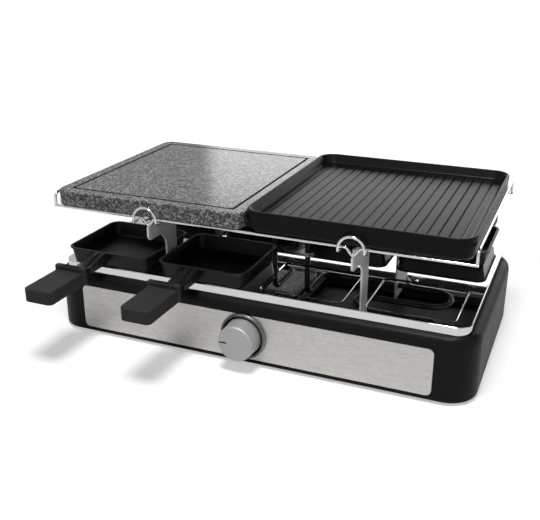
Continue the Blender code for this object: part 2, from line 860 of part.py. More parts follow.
def post_places():
    """The posts' two places along X, left and right."""
    return [POST_CENTRE_X - POST_SPREAD, POST_CENTRE_X + POST_SPREAD]


def post_outline(side):
    """A post's outline as (y, z): a leg, an arm above it and a seat for the wire at its tip.
    The heater's last run passes through the rear ones, and ends short of the front ones."""
    foot = SHIELD_FLOOR + SHIELD_SHEET + GAP
    leg = POST_INNER_Y + POST_LEG
    seat = RAIL_HEIGHT - DIP_DEPTH - WIRE / 2 - GAP
    seat_y = RAIL_Y - WIRE / 2 - GAP
    points = [(POST_INNER_Y, foot), (leg, foot)]
    fillet = (leg + POST_FILLET, POST_ARM_HEIGHT - POST_FILLET)
    points += arc(fillet, POST_FILLET, 180, 90, CORNER_STEPS)
    tip = (POST_OUTER_Y - POST_TIP_FILLET, POST_ARM_HEIGHT + POST_TIP_FILLET)
    points += arc(tip, POST_TIP_FILLET, -90, 0, CORNER_STEPS)
    points += [(POST_OUTER_Y, seat), (seat_y, seat), (seat_y, POST_TOP)]
    corner = POST_SHEET * 2
    points += arc((POST_INNER_Y + corner, POST_TOP - corner), corner, 90, 180, CORNER_STEPS)
    outlines = [points]
    if side > 0:
        run = (POST_INNER_Y + POST_HOLE, HEATER_HEIGHT)
        outlines.append(circle(run, HEATER_TUBE / 2 + HEATER_CLEARANCE))
    return [[(side * y, z) for y, z in outline] for outline in outlines]


def make_posts():
    for side, depth_name in ((-1, "front"), (1, "rear")):
        for x, side_name in zip(post_places(), ("left", "right")):
            post = outline_curve("post_" + depth_name + "_" + side_name, post_outline(side), POST_SHEET)
            post.rotation_euler = (math.pi / 2, 0, math.pi / 2)
            post.location = (x, 0, 0)
            add_piece(post, "post")


def make_heater():
    """One tube: up a leg, back, out along four runs at each side, across the front and home."""
    middle, top = HEATER_LEG_Y, HEATER_HEIGHT
    half = [
        ((HEATER_LEG_X, middle, HEATER_LEG_FOOT), 0),
        ((HEATER_LEG_X, middle, top), HEATER_BEND),
        ((HEATER_LEG_X, middle + HEATER_FAR, top), HEATER_BEND),
        ((HEATER_REACH_X, middle + HEATER_FAR, top), HEATER_TURN),
        ((HEATER_REACH_X, middle + HEATER_NEAR, top), HEATER_TURN),
        ((HEATER_TURN_X, middle + HEATER_NEAR, top), HEATER_NEAR),
        ((HEATER_TURN_X, middle - HEATER_NEAR, top), HEATER_NEAR),
        ((HEATER_REACH_X, middle - HEATER_NEAR, top), HEATER_TURN),
        ((HEATER_REACH_X, middle - HEATER_FAR, top), HEATER_TURN),
    ]
    other = [((-x, y, z), radius) for (x, y, z), radius in reversed(half)]
    return add_piece(tube("heater", bent(half + other), HEATER_TUBE), "heater")


def make_heater_fixings():
    """The plate on the tray round the heater's legs, and a ceramic bush on each leg's end."""
    end = FLANGE_WIDTH / 2
    reach = FLANGE_LENGTH / 2 - end
    outline = arc((reach, 0), end, -90, 90, CORNER_STEPS * 2)
    outline += arc((-reach, 0), end, 90, 270, CORNER_STEPS * 2)
    holes = [circle((x * HEATER_LEG_X, 0), HEATER_TUBE / 2 + GAP) for x in (-1, 1)]
    plate = outline_curve("heater_plate", [outline, *holes], FLANGE_SHEET)
    plate.location = (0, HEATER_LEG_Y, TRAY_TOP + GAP + FLANGE_SHEET / 2)
    add_piece(plate, "zinc")
    top = SHIELD_FLOOR - GAP
    bore = HEATER_TUBE / 2 + GAP
    profile = [
        (0, HEATER_LEG_FOOT - GAP),
        (bore, HEATER_LEG_FOOT - GAP),
        (bore, top),
        (BUSH_RADIUS, top),
        (BUSH_RADIUS, top - BUSH_LENGTH),
        (BUSH_FLOOR, top - BUSH_LENGTH - BUSH_FLOOR),
        (0, top - BUSH_LENGTH - BUSH_FLOOR),
    ]
    mesh = baked(turned("bush_form", profile, HIDDEN_TURN_STEPS))
    mesh.materials.append(MATERIALS["ceramic"])
    for x, name in ((-HEATER_LEG_X, "left"), (HEATER_LEG_X, "right")):
        bush = bpy.data.objects.new("heater_bush_" + name, mesh)
        bush.location = (x, HEATER_LEG_Y, 0)
        GRILL.objects.link(bush)
        bush.parent = CENTRE


def rail_points(y):
    """A straight wire with a dip over each post."""
    points = [(FRAME_X - RAIL_SPREAD - RAIL_END, y, RAIL_HEIGHT)]
    steps = CORNER_STEPS * 2
    for x in post_places():
        for step in range(steps + 1):
            along = 2 * step / steps - 1
            drop = DIP_DEPTH * math.cos(math.pi / 2 * along) ** 2
            points.append((x + along * DIP_HALF_WIDTH, y, RAIL_HEIGHT - drop))
    points.append((FRAME_X + RAIL_SPREAD + RAIL_END, y, RAIL_HEIGHT))
    return points


def make_wire_frame():
    """Front and rear rails carry the plates, and raised side wires join their ends."""
    add_piece(tube("rail_front", rail_points(-RAIL_Y), WIRE), "chrome")
    add_piece(tube("rail_rear", rail_points(RAIL_Y), WIRE), "chrome")
    for x, name in ((FRAME_X - RAIL_SPREAD, "left"), (FRAME_X + RAIL_SPREAD, "right")):
        corners = [
            ((x, -RAIL_Y, REST_HEIGHT), 0),
            ((x, -RAIL_Y, SIDE_HEIGHT), SIDE_BEND),
            ((x, RAIL_Y, SIDE_HEIGHT), SIDE_BEND),
            ((x, RAIL_Y, REST_HEIGHT), 0),
        ]
        add_piece(tube("rail_" + name, bent(corners), WIRE), "chrome")


def make_plate_stops():
    """A wire arch over each dip, its tails under the rail."""
    tail_height = RAIL_HEIGHT - WIRE - GAP
    tail_y = STOP_Y - STOP_TAIL
    for side, depth_name in ((-1, "front"), (1, "rear")):
        for x, side_name in zip(post_places(), ("left", "right")):
            rise = bent(
                [
                    ((x - STOP_SPAN / 2, side * tail_y, tail_height), 0),
                    ((x - STOP_SPAN / 2, side * STOP_Y, tail_height), STOP_BEND),
                    ((x - STOP_SPAN / 2, side * STOP_Y, STOP_SPRING_HEIGHT), 0),
                ],
                steps=CORNER_STEPS // 2,
            )
            crown = [
                (across, side * STOP_Y, height)
                for across, height in arc((x, STOP_SPRING_HEIGHT), STOP_SPAN / 2, 180, 0, CORNER_STEPS * 2)
            ]
            fall = [(2 * x - px, py, pz) for px, py, pz in reversed(rise)]
            points = [tuple(place) for place in rise[:-1]] + crown + fall[1:]
            add_piece(tube("plate_stop_" + depth_name + "_" + side_name, points, WIRE), "chrome")


def make_stone_plate():
    """A slab with a juice groove round its top, which lifts off."""
    half_x = (STONE_RIGHT - STONE_LEFT) / 2
    middle = ((STONE_RIGHT + STONE_LEFT) / 2, 0)
    top = REST_HEIGHT + STONE_THICK

    def stone_ring(height, inset):
        corner = max(STONE_CORNER - inset, STONE_CHAMFER)
        return ring(half_x - inset, STONE_DEPTH / 2 - inset, corner, height, middle)

    rings = [
        stone_ring(REST_HEIGHT, STONE_CHAMFER),
        stone_ring(REST_HEIGHT + STONE_CHAMFER, 0),
        stone_ring(top - STONE_CHAMFER, 0),
        stone_ring(top, STONE_CHAMFER),
        stone_ring(top, GROOVE_INSET),
        stone_ring(top - GROOVE_DEPTH, GROOVE_INSET + GROOVE_SLOPE),
        stone_ring(top - GROOVE_DEPTH, GROOVE_INSET + GROOVE_WIDTH - GROOVE_SLOPE),
        stone_ring(top, GROOVE_INSET + GROOVE_WIDTH),
    ]
    add_piece(loft("stone_plate", rings), "stone", (*middle, REST_HEIGHT))


def make_grill_plate():
    """A cast dish with a raised rim, ribs left between long grooves, and a hollow underside."""
    half_x = (GRILL_RIGHT - GRILL_LEFT) / 2
    half_y = GRILL_DEPTH / 2
    middle = ((GRILL_RIGHT + GRILL_LEFT) / 2, 0)
    wall_foot = GRILL_RIM + GRILL_WALL_SLOPE

    def grill_ring(height, inset):
        corner = max(GRILL_CORNER - inset, GRILL_RIM)
        return ring(half_x - inset, half_y - inset, corner, height, middle)

    foot = GRILL_BASE_INSET + GRILL_FOOT_WIDTH
    seat = REST_HEIGHT + GAP / 3
    base = seat - GRILL_BASE_DROP
    rings = [
        grill_ring(GRILL_FLOOR - GRILL_PLATE_THICK, foot + GRILL_RIM),
        grill_ring(base, foot),
        grill_ring(base, GRILL_BASE_INSET),
        grill_ring(seat, GRILL_SEAT_INSET),
        grill_ring(seat + GRILL_SIDE_RISE, GRILL_SIDE_INSET),
        grill_ring(GRILL_RIM_TOP - GRILL_RIM_EDGE, 0),
        grill_ring(GRILL_RIM_TOP, GRILL_RIM_EDGE),
        grill_ring(GRILL_RIM_TOP, GRILL_RIM),
        grill_ring(GRILL_FLOOR + GRILL_FLOOR_FILLET, wall_foot - GRILL_RIM_EDGE),
        grill_ring(GRILL_FLOOR, wall_foot + GRILL_FLOOR_FILLET),
    ]
    plate = loft("grill_plate", rings)
    bm = bmesh.new()
    reach = half_y - GRILL_GROOVE_END
    for step in range(GRILL_GROOVES):
        x = middle[0] + (step - (GRILL_GROOVES - 1) / 2) * GRILL_GROOVE_PITCH
        sections = []
        for y in (-reach, reach):
            sections.append(
                [
                    (x - GRILL_GROOVE_WIDTH, y, GRILL_FLOOR + GRILL_GROOVE_DEPTH),
                    (x, y, GRILL_FLOOR - GRILL_GROOVE_DEPTH),
                    (x + GRILL_GROOVE_WIDTH, y, GRILL_FLOOR + GRILL_GROOVE_DEPTH),
                ]
            )
        add_loft(bm, sections)
    cut(plate, mesh_object("grill_grooves", bm))
    add_piece(plate, "cast", (*middle, base))


def neck_section(y, top, web):
    """Across the neck: two ribs with a groove between, and a web that slopes to the left."""
    outer, base = NECK_TOP_WIDTH / 2, NECK_BASE_WIDTH / 2
    inner = outer - NECK_RIB
    floor = top - NECK_GROOVE
    shape = [
        (NECK_OFFSET - web, NECK_LOW),
        (-outer, top),
        (-inner, top),
        (-inner, floor),
        (inner, floor),
        (inner, top),
        (outer, top),
        (base, NECK_LOW),
    ]
    return [(x - NECK_OFFSET, y, z) for x, z in shape]


def pan_mesh():
    """A pan about its own middle, its neck to the front, at its height on the tray."""
    half_x, half_y = PAN_WIDTH / 2, PAN_LENGTH / 2
    rim_top = PAN_FLOOR + PAN_HEIGHT
    rim_low = rim_top - PAN_RIM_THICK
    foot = PAN_RIM + PAN_FLARE
    fillet = PAN_FLOOR_FILLET

    def pan_ring(height, inset):
        corner = PAN_CORNER - inset
        return ring(half_x - inset, half_y - inset, corner, height, steps=SMALL_CORNER_STEPS)

    rings = [
        pan_ring(PAN_FLOOR, foot + fillet),
        pan_ring(PAN_FLOOR + fillet, foot),
        pan_ring(rim_low - GAP, PAN_RIM),
        pan_ring(rim_low, 0),
        pan_ring(rim_top, 0),
        pan_ring(rim_top, PAN_RIM / 2 + PAN_SHEET),
        pan_ring(PAN_FLOOR + PAN_SHEET + fillet, foot + PAN_SHEET),
        pan_ring(PAN_FLOOR + PAN_SHEET, foot + PAN_SHEET + fillet),
    ]
    pan = loft("pan_form", rings)
    start = -half_y + PAN_RIM / 2 + PAN_SHEET / 2
    run = GRIP_ROOT - GAP + start
    top = rim_top - GAP
    drop_shares = ((0, 0), (0.25, 0.1), (0.55, 0.55), (0.8, 0.92), (1, 1))
    sections = []
    for along, drop in drop_shares:
        web = WEB_ROOT + (WEB_END - WEB_ROOT) * along
        sections.append(neck_section(start - run * along, top - NECK_DROP * drop, web))
    join(pan, loft("neck_form", sections))
    low, high = tongue_box(0)
    join(pan, blocks("tongue_form", [(low, (high[0], high[1] + OVERRUN, high[2]))]))
    return baked(pan)


def tongue_box(growth):
    """The neck's flat end inside the grip, or the slot that it fills."""
    half = TONGUE_WIDTH / 2 + growth
    top = NECK_LOW + TONGUE_TOP
    low = (-TONGUE_OFFSET - half, -GRIP_ROOT - TONGUE_LENGTH - growth, top - TONGUE_SHEET - growth)
    high = (-TONGUE_OFFSET + half, -GRIP_ROOT + GAP, top + growth)
    return low, high


def grip_mesh():
    """A slab with a guard across its root and a slot for the neck's tongue."""
    bottom = GRIP_TOP - GRIP_THICK
    half_x = GRIP_WIDTH / 2
    half_y = (GRIP_END - GRIP_ROOT) / 2
    middle = (-GRIP_OFFSET, -(GRIP_END + GRIP_ROOT) / 2)

    def grip_ring(height, inset):
        corner = GRIP_CORNER - inset
        return ring(half_x - inset, half_y - inset, corner, height, middle, SMALL_CORNER_STEPS)

    rings = [
        grip_ring(bottom, GRIP_EDGE),
        grip_ring(bottom + GRIP_EDGE, 0),
        grip_ring(GRIP_TOP - GRIP_EDGE, 0),
        grip_ring(GRIP_TOP, GRIP_EDGE),
    ]
    grip = loft("grip_form", rings)
    guard_half = half_x + GUARD_OVERHANG
    guard_middle = (-GRIP_OFFSET, -GRIP_ROOT - GUARD_THICK / 2)
    guard_top = GRIP_TOP + GUARD_RISE
    guard_rings = []
    for height, inset in ((bottom + GRIP_EDGE, 0), (guard_top - GUARD_EDGE, 0), (guard_top, GUARD_EDGE)):
        half_y = GUARD_THICK / 2 - inset
        corner = GUARD_EDGE * 2 - inset
        guard_rings.append(ring(guard_half - inset, half_y, corner, height, guard_middle, 2))
    join(grip, loft("guard_form", guard_rings))
    low, high = tongue_box(GAP)
    cut(grip, blocks("tongue_slot", [(low, (high[0], -GRIP_ROOT + OVERRUN, high[2]))]))
    return baked(grip)


def make_pans():
    """Two pans at the front, on the left, and four at the rear, drawn out a little."""
    body, grip = pan_mesh(), grip_mesh()
    body.materials.append(MATERIALS["pan"])
    grip.materials.append(MATERIALS["grip"])
    places = [("front_" + str(i + 1), x, -PAN_Y, 0) for i, x in enumerate(sorted(PLACE_CENTRES)[:2])]
    places += [
        ("rear_" + str(i + 1), x, PAN_Y + PAN_DRAWN_OUT, math.pi)
        for i, x in enumerate(sorted(PLACE_CENTRES))
    ]
    for name, x, y, turn in places:
        for kind, mesh in (("pan_", body), ("grip_", grip)):
            obj = bpy.data.objects.new(kind + name, mesh)
            obj.location = (x, y, 0)
            obj.rotation_euler = (0, 0, turn)
            GRILL.objects.link(obj)
            obj.parent = CENTRE


def make_supply():
    """The bush in the rear wall, and the terminal block on the bottom plate."""
    profile = [
        (GLAND_BORE, GLAND_FLANGE + GAP),
        (GLAND_FLANGE_RADIUS - GLAND_FLANGE / 2, GLAND_FLANGE + GAP),
        (GLAND_FLANGE_RADIUS, GLAND_FLANGE / 2),
        (GLAND_FLANGE_RADIUS, GAP),
        (GLAND_RADIUS, GAP),
        (GLAND_RADIUS, -GLAND_INSIDE),
        (GLAND_BORE, -GLAND_INSIDE),
    ]
    gland = turned("cord_gland", profile, HIDDEN_TURN_STEPS, closed=True)
    gland.rotation_euler = (-math.pi / 2, 0, 0)
    gland.location = (GLAND_X, HALF_DEPTH, GLAND_HEIGHT)
    add_piece(gland, "rubber")
    floor = BASE_LIFT + BOTTOM_RAISE + BOTTOM_SHEET + GAP
    top = floor + BLOCK_HEIGHT
    block = blocks(
        "terminal_block",
        [
            (
                (GLAND_X - BLOCK_LENGTH / 2, BLOCK_Y - BLOCK_WIDTH / 2, floor),
                (GLAND_X + BLOCK_LENGTH / 2, BLOCK_Y + BLOCK_WIDTH / 2, top),
            )
        ],
    )
    wells = []
    for column in (-1, 0, 1):
        for row in (-1, 1):
            x = GLAND_X + column * BLOCK_LENGTH / 3
            y = BLOCK_Y + row * BLOCK_WIDTH / 4
            wells.append(((x, y, top - BLOCK_WELL_DEPTH), (x, y, top + OVERRUN)))
    cut(block, rods("screw_wells", BLOCK_WELL_RADIUS, wells, CORNER_STEPS * 2))
    add_piece(block, "ceramic")


def build():
    make_housing()
    make_bottom_plate()
    make_feet()
    make_fascia()
    make_knob()
    make_knob_ring()
    make_thermostat()
    make_supply()
    make_heat_shield()
    make_tray()
    make_posts()
    make_heater()
    make_heater_fixings()
    make_wire_frame()
    make_plate_stops()
    make_stone_plate()
    make_grill_plate()
    make_pans()
    bpy.context.view_layer.update()


build()
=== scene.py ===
# %% [markdown]
# # A raclette grill, dressed in Blender
# The CAD solids give every size and place. This lesson puts finer pieces with real finishes over
# them: rolled edges on the sheet metal, round wires, grooves in the cast plate, and grain in the
# stone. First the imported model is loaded, and its box is kept to compare with at the end.

# %% Load the frame
import math

import bmesh
import bpy
from mathutils import Matrix, Vector


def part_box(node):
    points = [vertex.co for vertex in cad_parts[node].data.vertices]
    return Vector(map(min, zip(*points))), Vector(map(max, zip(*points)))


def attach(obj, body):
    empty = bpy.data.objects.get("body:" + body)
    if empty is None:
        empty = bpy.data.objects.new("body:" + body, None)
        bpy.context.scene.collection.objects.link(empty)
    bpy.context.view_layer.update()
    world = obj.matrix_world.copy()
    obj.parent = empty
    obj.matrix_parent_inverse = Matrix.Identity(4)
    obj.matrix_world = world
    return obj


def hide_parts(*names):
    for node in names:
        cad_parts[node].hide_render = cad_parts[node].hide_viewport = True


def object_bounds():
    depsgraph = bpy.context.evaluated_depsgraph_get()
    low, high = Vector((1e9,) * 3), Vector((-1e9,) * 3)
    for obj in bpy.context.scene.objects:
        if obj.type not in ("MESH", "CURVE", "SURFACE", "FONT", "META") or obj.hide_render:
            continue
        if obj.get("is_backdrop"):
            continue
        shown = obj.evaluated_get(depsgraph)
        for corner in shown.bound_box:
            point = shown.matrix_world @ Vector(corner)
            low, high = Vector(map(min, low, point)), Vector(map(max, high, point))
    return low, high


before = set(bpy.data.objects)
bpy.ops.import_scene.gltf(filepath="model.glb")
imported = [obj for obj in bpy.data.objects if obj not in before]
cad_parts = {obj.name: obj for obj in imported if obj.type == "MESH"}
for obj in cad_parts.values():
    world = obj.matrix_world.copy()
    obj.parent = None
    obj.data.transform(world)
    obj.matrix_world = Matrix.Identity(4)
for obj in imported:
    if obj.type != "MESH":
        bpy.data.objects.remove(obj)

cad_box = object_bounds()

# %% [markdown]
# ## Arithmetic on sockets
# A shader or a geometry tree is easier to read as a formula than as a list of links. The class
# below wraps one output socket, and each operator adds a Math node. A graph's one method adds
# any other node: its settings come first, then the values or links of its sockets.


# %% Sockets and graphs
class Value:
    """One output of a node, on which arithmetic adds Math nodes."""

    def __init__(self, graph, socket):
        self.graph = graph
        self.socket = socket

    def math(self, operation, *terms):
        sockets = dict(enumerate(terms))
        return self.graph.add("ShaderNodeMath", {"operation": operation}, sockets)

    def __add__(self, other):
        return self.math("ADD", self, other)

    def __sub__(self, other):
        return self.math("SUBTRACT", self, other)

    def __mul__(self, other):
        return self.math("MULTIPLY", self, other)

    def __rsub__(self, other):
        return self.math("SUBTRACT", other, self)

    __radd__ = __add__
    __rmul__ = __mul__

    def above(self, edge, softness):
        """0 below the edge and 1 above it, with a soft step between."""
        return self.graph.add(
            "ShaderNodeMapRange",
            {"interpolation_type": "SMOOTHSTEP"},
            {"Value": self, "From Min": edge - softness, "From Max": edge + softness},
        )


class Graph:
    """A node tree that is built one node at a time."""

    def __init__(self, tree):
        self.tree = tree

    def add(self, kind, settings=None, sockets=None, output=0):
        node = self.tree.nodes.new(kind)
        for name, setting in (settings or {}).items():
            if name == "stops":
                ramp = node.color_ramp.elements
                while len(ramp) < len(setting):
                    ramp.new(1)
                for element, (place, shade) in zip(ramp, setting):
                    element.position = place
                    element.color = (*shade, 1)
            else:
                setattr(node, name, setting)
        for name, value in (sockets or {}).items():
            if isinstance(value, Value):
                self.tree.links.new(value.socket, node.inputs[name])
            else:
                node.inputs[name].default_value = value
        return Value(self, node.outputs[output])


finishes = {}


class Finish(Graph):
    """A material around one Principled shader, kept under its name."""

    def __init__(self, name, colour, roughness, metallic=0.0, **fixed):
        finishes[name] = self
        self.material = bpy.data.materials.new(name)
        self.material.use_nodes = True
        super().__init__(self.material.node_tree)
        self.shader = self.tree.nodes["Principled BSDF"]
        self.colour = colour
        self.feed("Base Color", (*colour, 1))
        self.feed("Roughness", roughness)
        self.feed("Metallic", metallic)
        for socket, number in fixed.items():
            self.feed(socket.replace("_", " "), number)

    def feed(self, socket, value):
        if isinstance(value, Value):
            self.tree.links.new(value.socket, self.shader.inputs[socket])
        else:
            self.shader.inputs[socket].default_value = value

    def place(self, stretch=(1, 1, 1)):
        """The point on the object, with each axis stretched."""
        spot = self.add("ShaderNodeTexCoord", output="Object")
        return self.add("ShaderNodeMapping", None, {"Vector": spot, "Scale": stretch})

    def noise(self, scale, detail=3, stretch=(1, 1, 1)):
        sockets = {"Vector": self.place(stretch), "Scale": scale, "Detail": detail}
        return self.add("ShaderNodeTexNoise", None, sockets)

    def cells(self, scale, output="Color"):
        sockets = {"Vector": self.place(), "Scale": scale}
        return self.add("ShaderNodeTexVoronoi", None, sockets, output)

    def mix(self, factor, first, second):
        """A colour between two others."""
        sockets = {0: factor}
        for index, shade in ((6, first), (7, second)):
            sockets[index] = shade if isinstance(shade, Value) else (*shade, 1)
        return self.add("ShaderNodeMix", {"data_type": "RGBA"}, sockets, 2)

    def shades(self, factor, low, high):
        """Feeds the finish's own colour, darkened and lightened along a factor."""
        dark = [c * low for c in self.colour]
        pale = [min(c * high, 1) for c in self.colour]
        self.feed("Base Color", self.mix(factor, dark, pale))

    def bump(self, height, depth, strength=1.0):
        """Feeds the normal with a relief of the given depth in metres."""
        sockets = {"Height": height, "Distance": depth, "Strength": strength}
        self.feed("Normal", self.add("ShaderNodeBump", None, sockets))


def grey(shade):
    return (shade, shade, shade)


# %% [markdown]
# ## Moulded plastic and rubber
# The base and the grips are moulded in black plastic. The mould is spark-eroded, which leaves a
# grain finer than half a millimetre that makes the gloss soft. A small noise moves the roughness,
# and a finer one is the grain. Rubber has a coarser, duller skin.


# %% Plastics
def moulded(name, colour, roughness, grain, depth):
    finish = Finish(name, colour, roughness, Specular_IOR_Level=0.12)
    cloud = finish.noise(40)
    finish.shades(cloud, 0.8, 1.2)
    finish.feed("Roughness", cloud * 0.12 + (roughness - 0.06))
    finish.bump(finish.noise(grain, 2), depth)


moulded("housing", (0.007, 0.007, 0.0074), 0.4, 2600, 0.00004)
moulded("grip", (0.031, 0.031, 0.032), 0.5, 2200, 0.00005)
moulded("rubber", grey(0.018), 0.78, 900, 0.0001)
moulded("pointer", grey(0.03), 0.5, 2500, 0.00003)
moulded("ceramic", (0.72, 0.69, 0.62), 0.55, 1500, 0.00005)
print("plastic finishes:", len(finishes))

# %% [markdown]
# ## Steel
# The front plate is brushed along its length: the same noise, squeezed to long thin lines, moves
# its colour, its roughness and its surface. The tray is polished like a mirror, with only a slow
# waviness that a pressed sheet keeps. Wires are chromed. The posts are stamped and left unpolished,
# so they have a faint rolling grain and mirror only a little. The ring behind the knob is dark grey
# from a certain distance to the knob's axis outwards; nearer the knob it is painted nearly black,
# which is painted shade in the gap beside the knob.


# %% Metals
def brushed(name, colour, roughness, stretch, contrast, depth):
    finish = Finish(name, colour, roughness, 1.0)
    fine = finish.noise(1, 4, stretch)
    broad = finish.noise(1, 2, tuple(s / 3 for s in stretch))
    streak = fine * 0.65 + broad * 0.35
    finish.shades(streak.above(0.5, 0.22), 1 - contrast, 1 + contrast)
    finish.feed("Roughness", streak * 0.3 + (roughness - 0.15))
    finish.bump(fine, depth)
    return finish


brushed("fascia", (0.69, 0.67, 0.645), 0.5, (170, 300, 1900), 0.16, 0.00002)
post_steel = brushed("post", (0.9, 0.89, 0.875), 0.5, (300, 900, 60), 0.05, 0.00001)
post_steel.feed("Metallic", 0.3)

tray = Finish("tray", (0.85, 0.84, 0.825), 0.05, 1.0)
tray.shades(tray.noise(18), 0.96, 1.04)
tray.feed("Roughness", tray.noise(55).above(0.62, 0.2) * 0.02 + 0.012)
tray.bump(tray.noise(22, 1), 0.00002, 0.5)

wire = Finish("wire", (0.86, 0.86, 0.87), 0.1, 1.0)
wire.shades(wire.noise(90), 0.93, 1.05)
wire.feed("Roughness", wire.noise(160) * 0.1 + 0.06)
wire.bump(wire.noise(700, 2), 0.00001)


def plated(name, colour, roughness, mottle, depth):
    """Zinc, brass and the ring's dark coat: a metal with a mottle of its own size."""
    finish = Finish(name, colour, roughness, 1.0)
    patch = finish.noise(mottle, 4)
    finish.shades(patch, 0.82, 1.16)
    finish.feed("Roughness", patch * 0.2 + (roughness - 0.1))
    finish.bump(finish.noise(mottle * 6, 2), depth)
    return finish


plated("zinc", (0.42, 0.43, 0.44), 0.3, 120, 0.00002)
plated("brass", (0.62, 0.46, 0.22), 0.34, 200, 0.00002)
ring = plated("knob_ring", grey(0.3), 0.3, 160, 0.00001)
AXIS_HEIGHT, PAINTED_SHADE_REACH = 0.035, 0.0235
sockets = {0: ring.add("ShaderNodeTexCoord", output="Object"), 1: (1, 0, 1)}
sockets[2] = (0, 0, -AXIS_HEIGHT)
offset = ring.add("ShaderNodeVectorMath", {"operation": "MULTIPLY_ADD"}, sockets, "Vector")
reach = ring.add("ShaderNodeVectorMath", {"operation": "LENGTH"}, {0: offset}, "Value")
# Inside this reach from the knob's axis the ring is painted nearly black, which is painted shade in
# the gap beside the knob.
ring.feed("Base Color", ring.mix(reach.above(PAINTED_SHADE_REACH, 0.0001), grey(0.02), grey(0.22)))
print("metal finishes:", ", ".join(list(finishes)[5:]))

# %% [markdown]
# ## Paint, enamel and coatings
# The knob wears a silver lacquer with fine flakes. The heater's sheath is steel that has turned a
# dark green-black. Pans and grill plate have a non-stick coating, which is nearly black, a little
# grainy, and shows a pale sheen where it is seen at a flat angle.

# %% Coatings
knob_paint = Finish("knob", grey(0.54), 0.5, 0.75, Coat_Roughness=0.2)
flakes = knob_paint.cells(5200)
flake = knob_paint.add("ShaderNodeSeparateColor", None, {"Color": flakes})
knob_paint.shades(flake, 0.93, 1.07)
knob_paint.feed("Roughness", knob_paint.noise(300) * 0.1 + 0.56)
knob_paint.bump(knob_paint.noise(1800, 2), 0.00001)

sheath = Finish("heater", (0.02, 0.03, 0.022), 0.36, 0.35)
scale_marks = sheath.noise(130, 5)
dark, pale = (0.012, 0.02, 0.014), (0.034, 0.045, 0.034)
sheath.feed("Base Color", sheath.mix(scale_marks.above(0.5, 0.2), dark, pale))
sheath.feed("Roughness", scale_marks * 0.25 + 0.24)
sheath.bump(sheath.noise(900, 3), 0.00003)


def coated(name, colour, roughness, grain, depth, shine):
    finish = Finish(name, colour, roughness, Specular_IOR_Level=shine)
    speck = finish.noise(grain, 2)
    finish.shades(finish.noise(60), 0.8, 1.25)
    finish.feed("Roughness", speck * 0.24 + (roughness - 0.12))
    finish.bump(speck, depth)


coated("pan", grey(0.01), 0.34, 1100, 0.00004, 0.25)
coated("grill", grey(0.0055), 0.3, 1300, 0.00003, 0.11)
print("coatings:", ", ".join(list(finishes)[-4:]))

# %% [markdown]
# ## Natural stone
# The stone plate is a grey granite: pale feldspar, darker quartz and black mica in grains of one
# to two millimetres. Voronoi cells are close to real grains, because each one is flat in shade
# and they meet in straight edges. Two sizes of cell are laid over each other, a cloud of noise
# moves the balance, and the polish is a little duller on the dark grains. The groove is only sawn,
# so an attribute of the mesh, which is 1 in the groove, makes it matt there. The same attribute
# also paints the groove nearly black, which is painted shade in the groove.

# %% Stone
COARSE, FINE = 560, 1250
stone = Finish("stone", grey(0.25), 0.4)
grain = stone.add("ShaderNodeSeparateColor", None, {"Color": stone.cells(COARSE)})
small_grain = stone.add("ShaderNodeSeparateColor", None, {"Color": stone.cells(FINE)})
balance = grain * 0.62 + small_grain * 0.36 + stone.noise(90) * 0.1
greys = [(0.0, grey(0.006)), (0.4, grey(0.03)), (0.6, (0.11, 0.11, 0.108))]
greys += [(0.8, (0.27, 0.27, 0.265)), (1.0, (0.42, 0.42, 0.41))]
speckles = stone.add("ShaderNodeValToRGB", {"stops": greys}, {0: balance})
hollow = stone.add("ShaderNodeAttribute", {"attribute_name": "hollow"}, output="Fac")
# The groove is mixed nearly to black, which is painted shade; its higher roughness makes it matt.
stone.feed("Base Color", stone.mix(hollow * 0.95, speckles, grey(0.008)))
stone.feed("Roughness", balance * -0.06 + hollow * 0.5 + 0.19)
stone.bump(balance, 0.000008)
print("all finishes:", len(finishes))

# %% [markdown]
# ## Dress the solids
# Every CAD node gets the finish of its own material slot, so also a piece that nobody sees is
# finished. Most of what shows is remade below, and then the CAD node steps back.

# %% Finish of each node
STARTS = {
    "zinc": ("bottom_plate", "heat_shield", "heater_plate"),
    "ceramic": ("heater_bush", "terminal_block", "thermostat_body"),
    "brass": ("thermostat_nut", "thermostat_shaft"),
    "rubber": ("foot", "cord_gland"),
    "wire": ("rail", "plate_stop"),
    "fascia": ("front_fascia",),
    "pointer": ("knob_pointer",),
}


def slot_of(node):
    """The material slot of a CAD node, from a start above or the finish that it is named for."""
    for slot, starts in STARTS.items():
        if node.startswith(starts):
            return slot
    return max((slot for slot in finishes if node.startswith(slot)), key=len)


for node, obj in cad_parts.items():
    obj.data.materials.clear()
    obj.data.materials.append(finishes[slot_of(node)].material)
print("dressed", len(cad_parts), "nodes")

# %% [markdown]
# ## Helpers for shapes
# Nearly every piece here has a rounded rectangle for a plan and a short profile for a section. So
# one helper rounds the corners of a line, in two or three dimensions. Others give the rings of a
# rounded rectangle along a profile of (inset, height), and put faces between rings.


# %% Rounded lines, rings and lofts
def rounded(corners, steps):
    """A line through (place, radius) corners, with each corner turned to an arc."""
    places = [Vector(place) for place, _ in corners]
    line = [places[0]]
    for before, (_, radius), place, after in zip(places, corners[1:-1], places[1:], places[2:]):
        if not radius:
            line.append(place)
            continue
        inward = (before - place).normalized()
        outward = (after - place).normalized()
        half = inward.angle(outward) / 2
        middle = place + (inward + outward).normalized() * radius / math.sin(half)
        start = place + inward * radius / math.tan(half) - middle
        end = place + outward * radius / math.tan(half) - middle
        for step in range(steps + 1):
            line.append(middle + start.slerp(end, step / steps).normalized() * radius)
    line.append(places[-1])
    return line


def profile(corners, steps=4):
    """(inset, height) pairs along a section whose corners have the given radii."""
    line = rounded([((inset, 0, height), radius) for inset, height, radius in corners], steps)
    return [(point.x, point.z) for point in line]


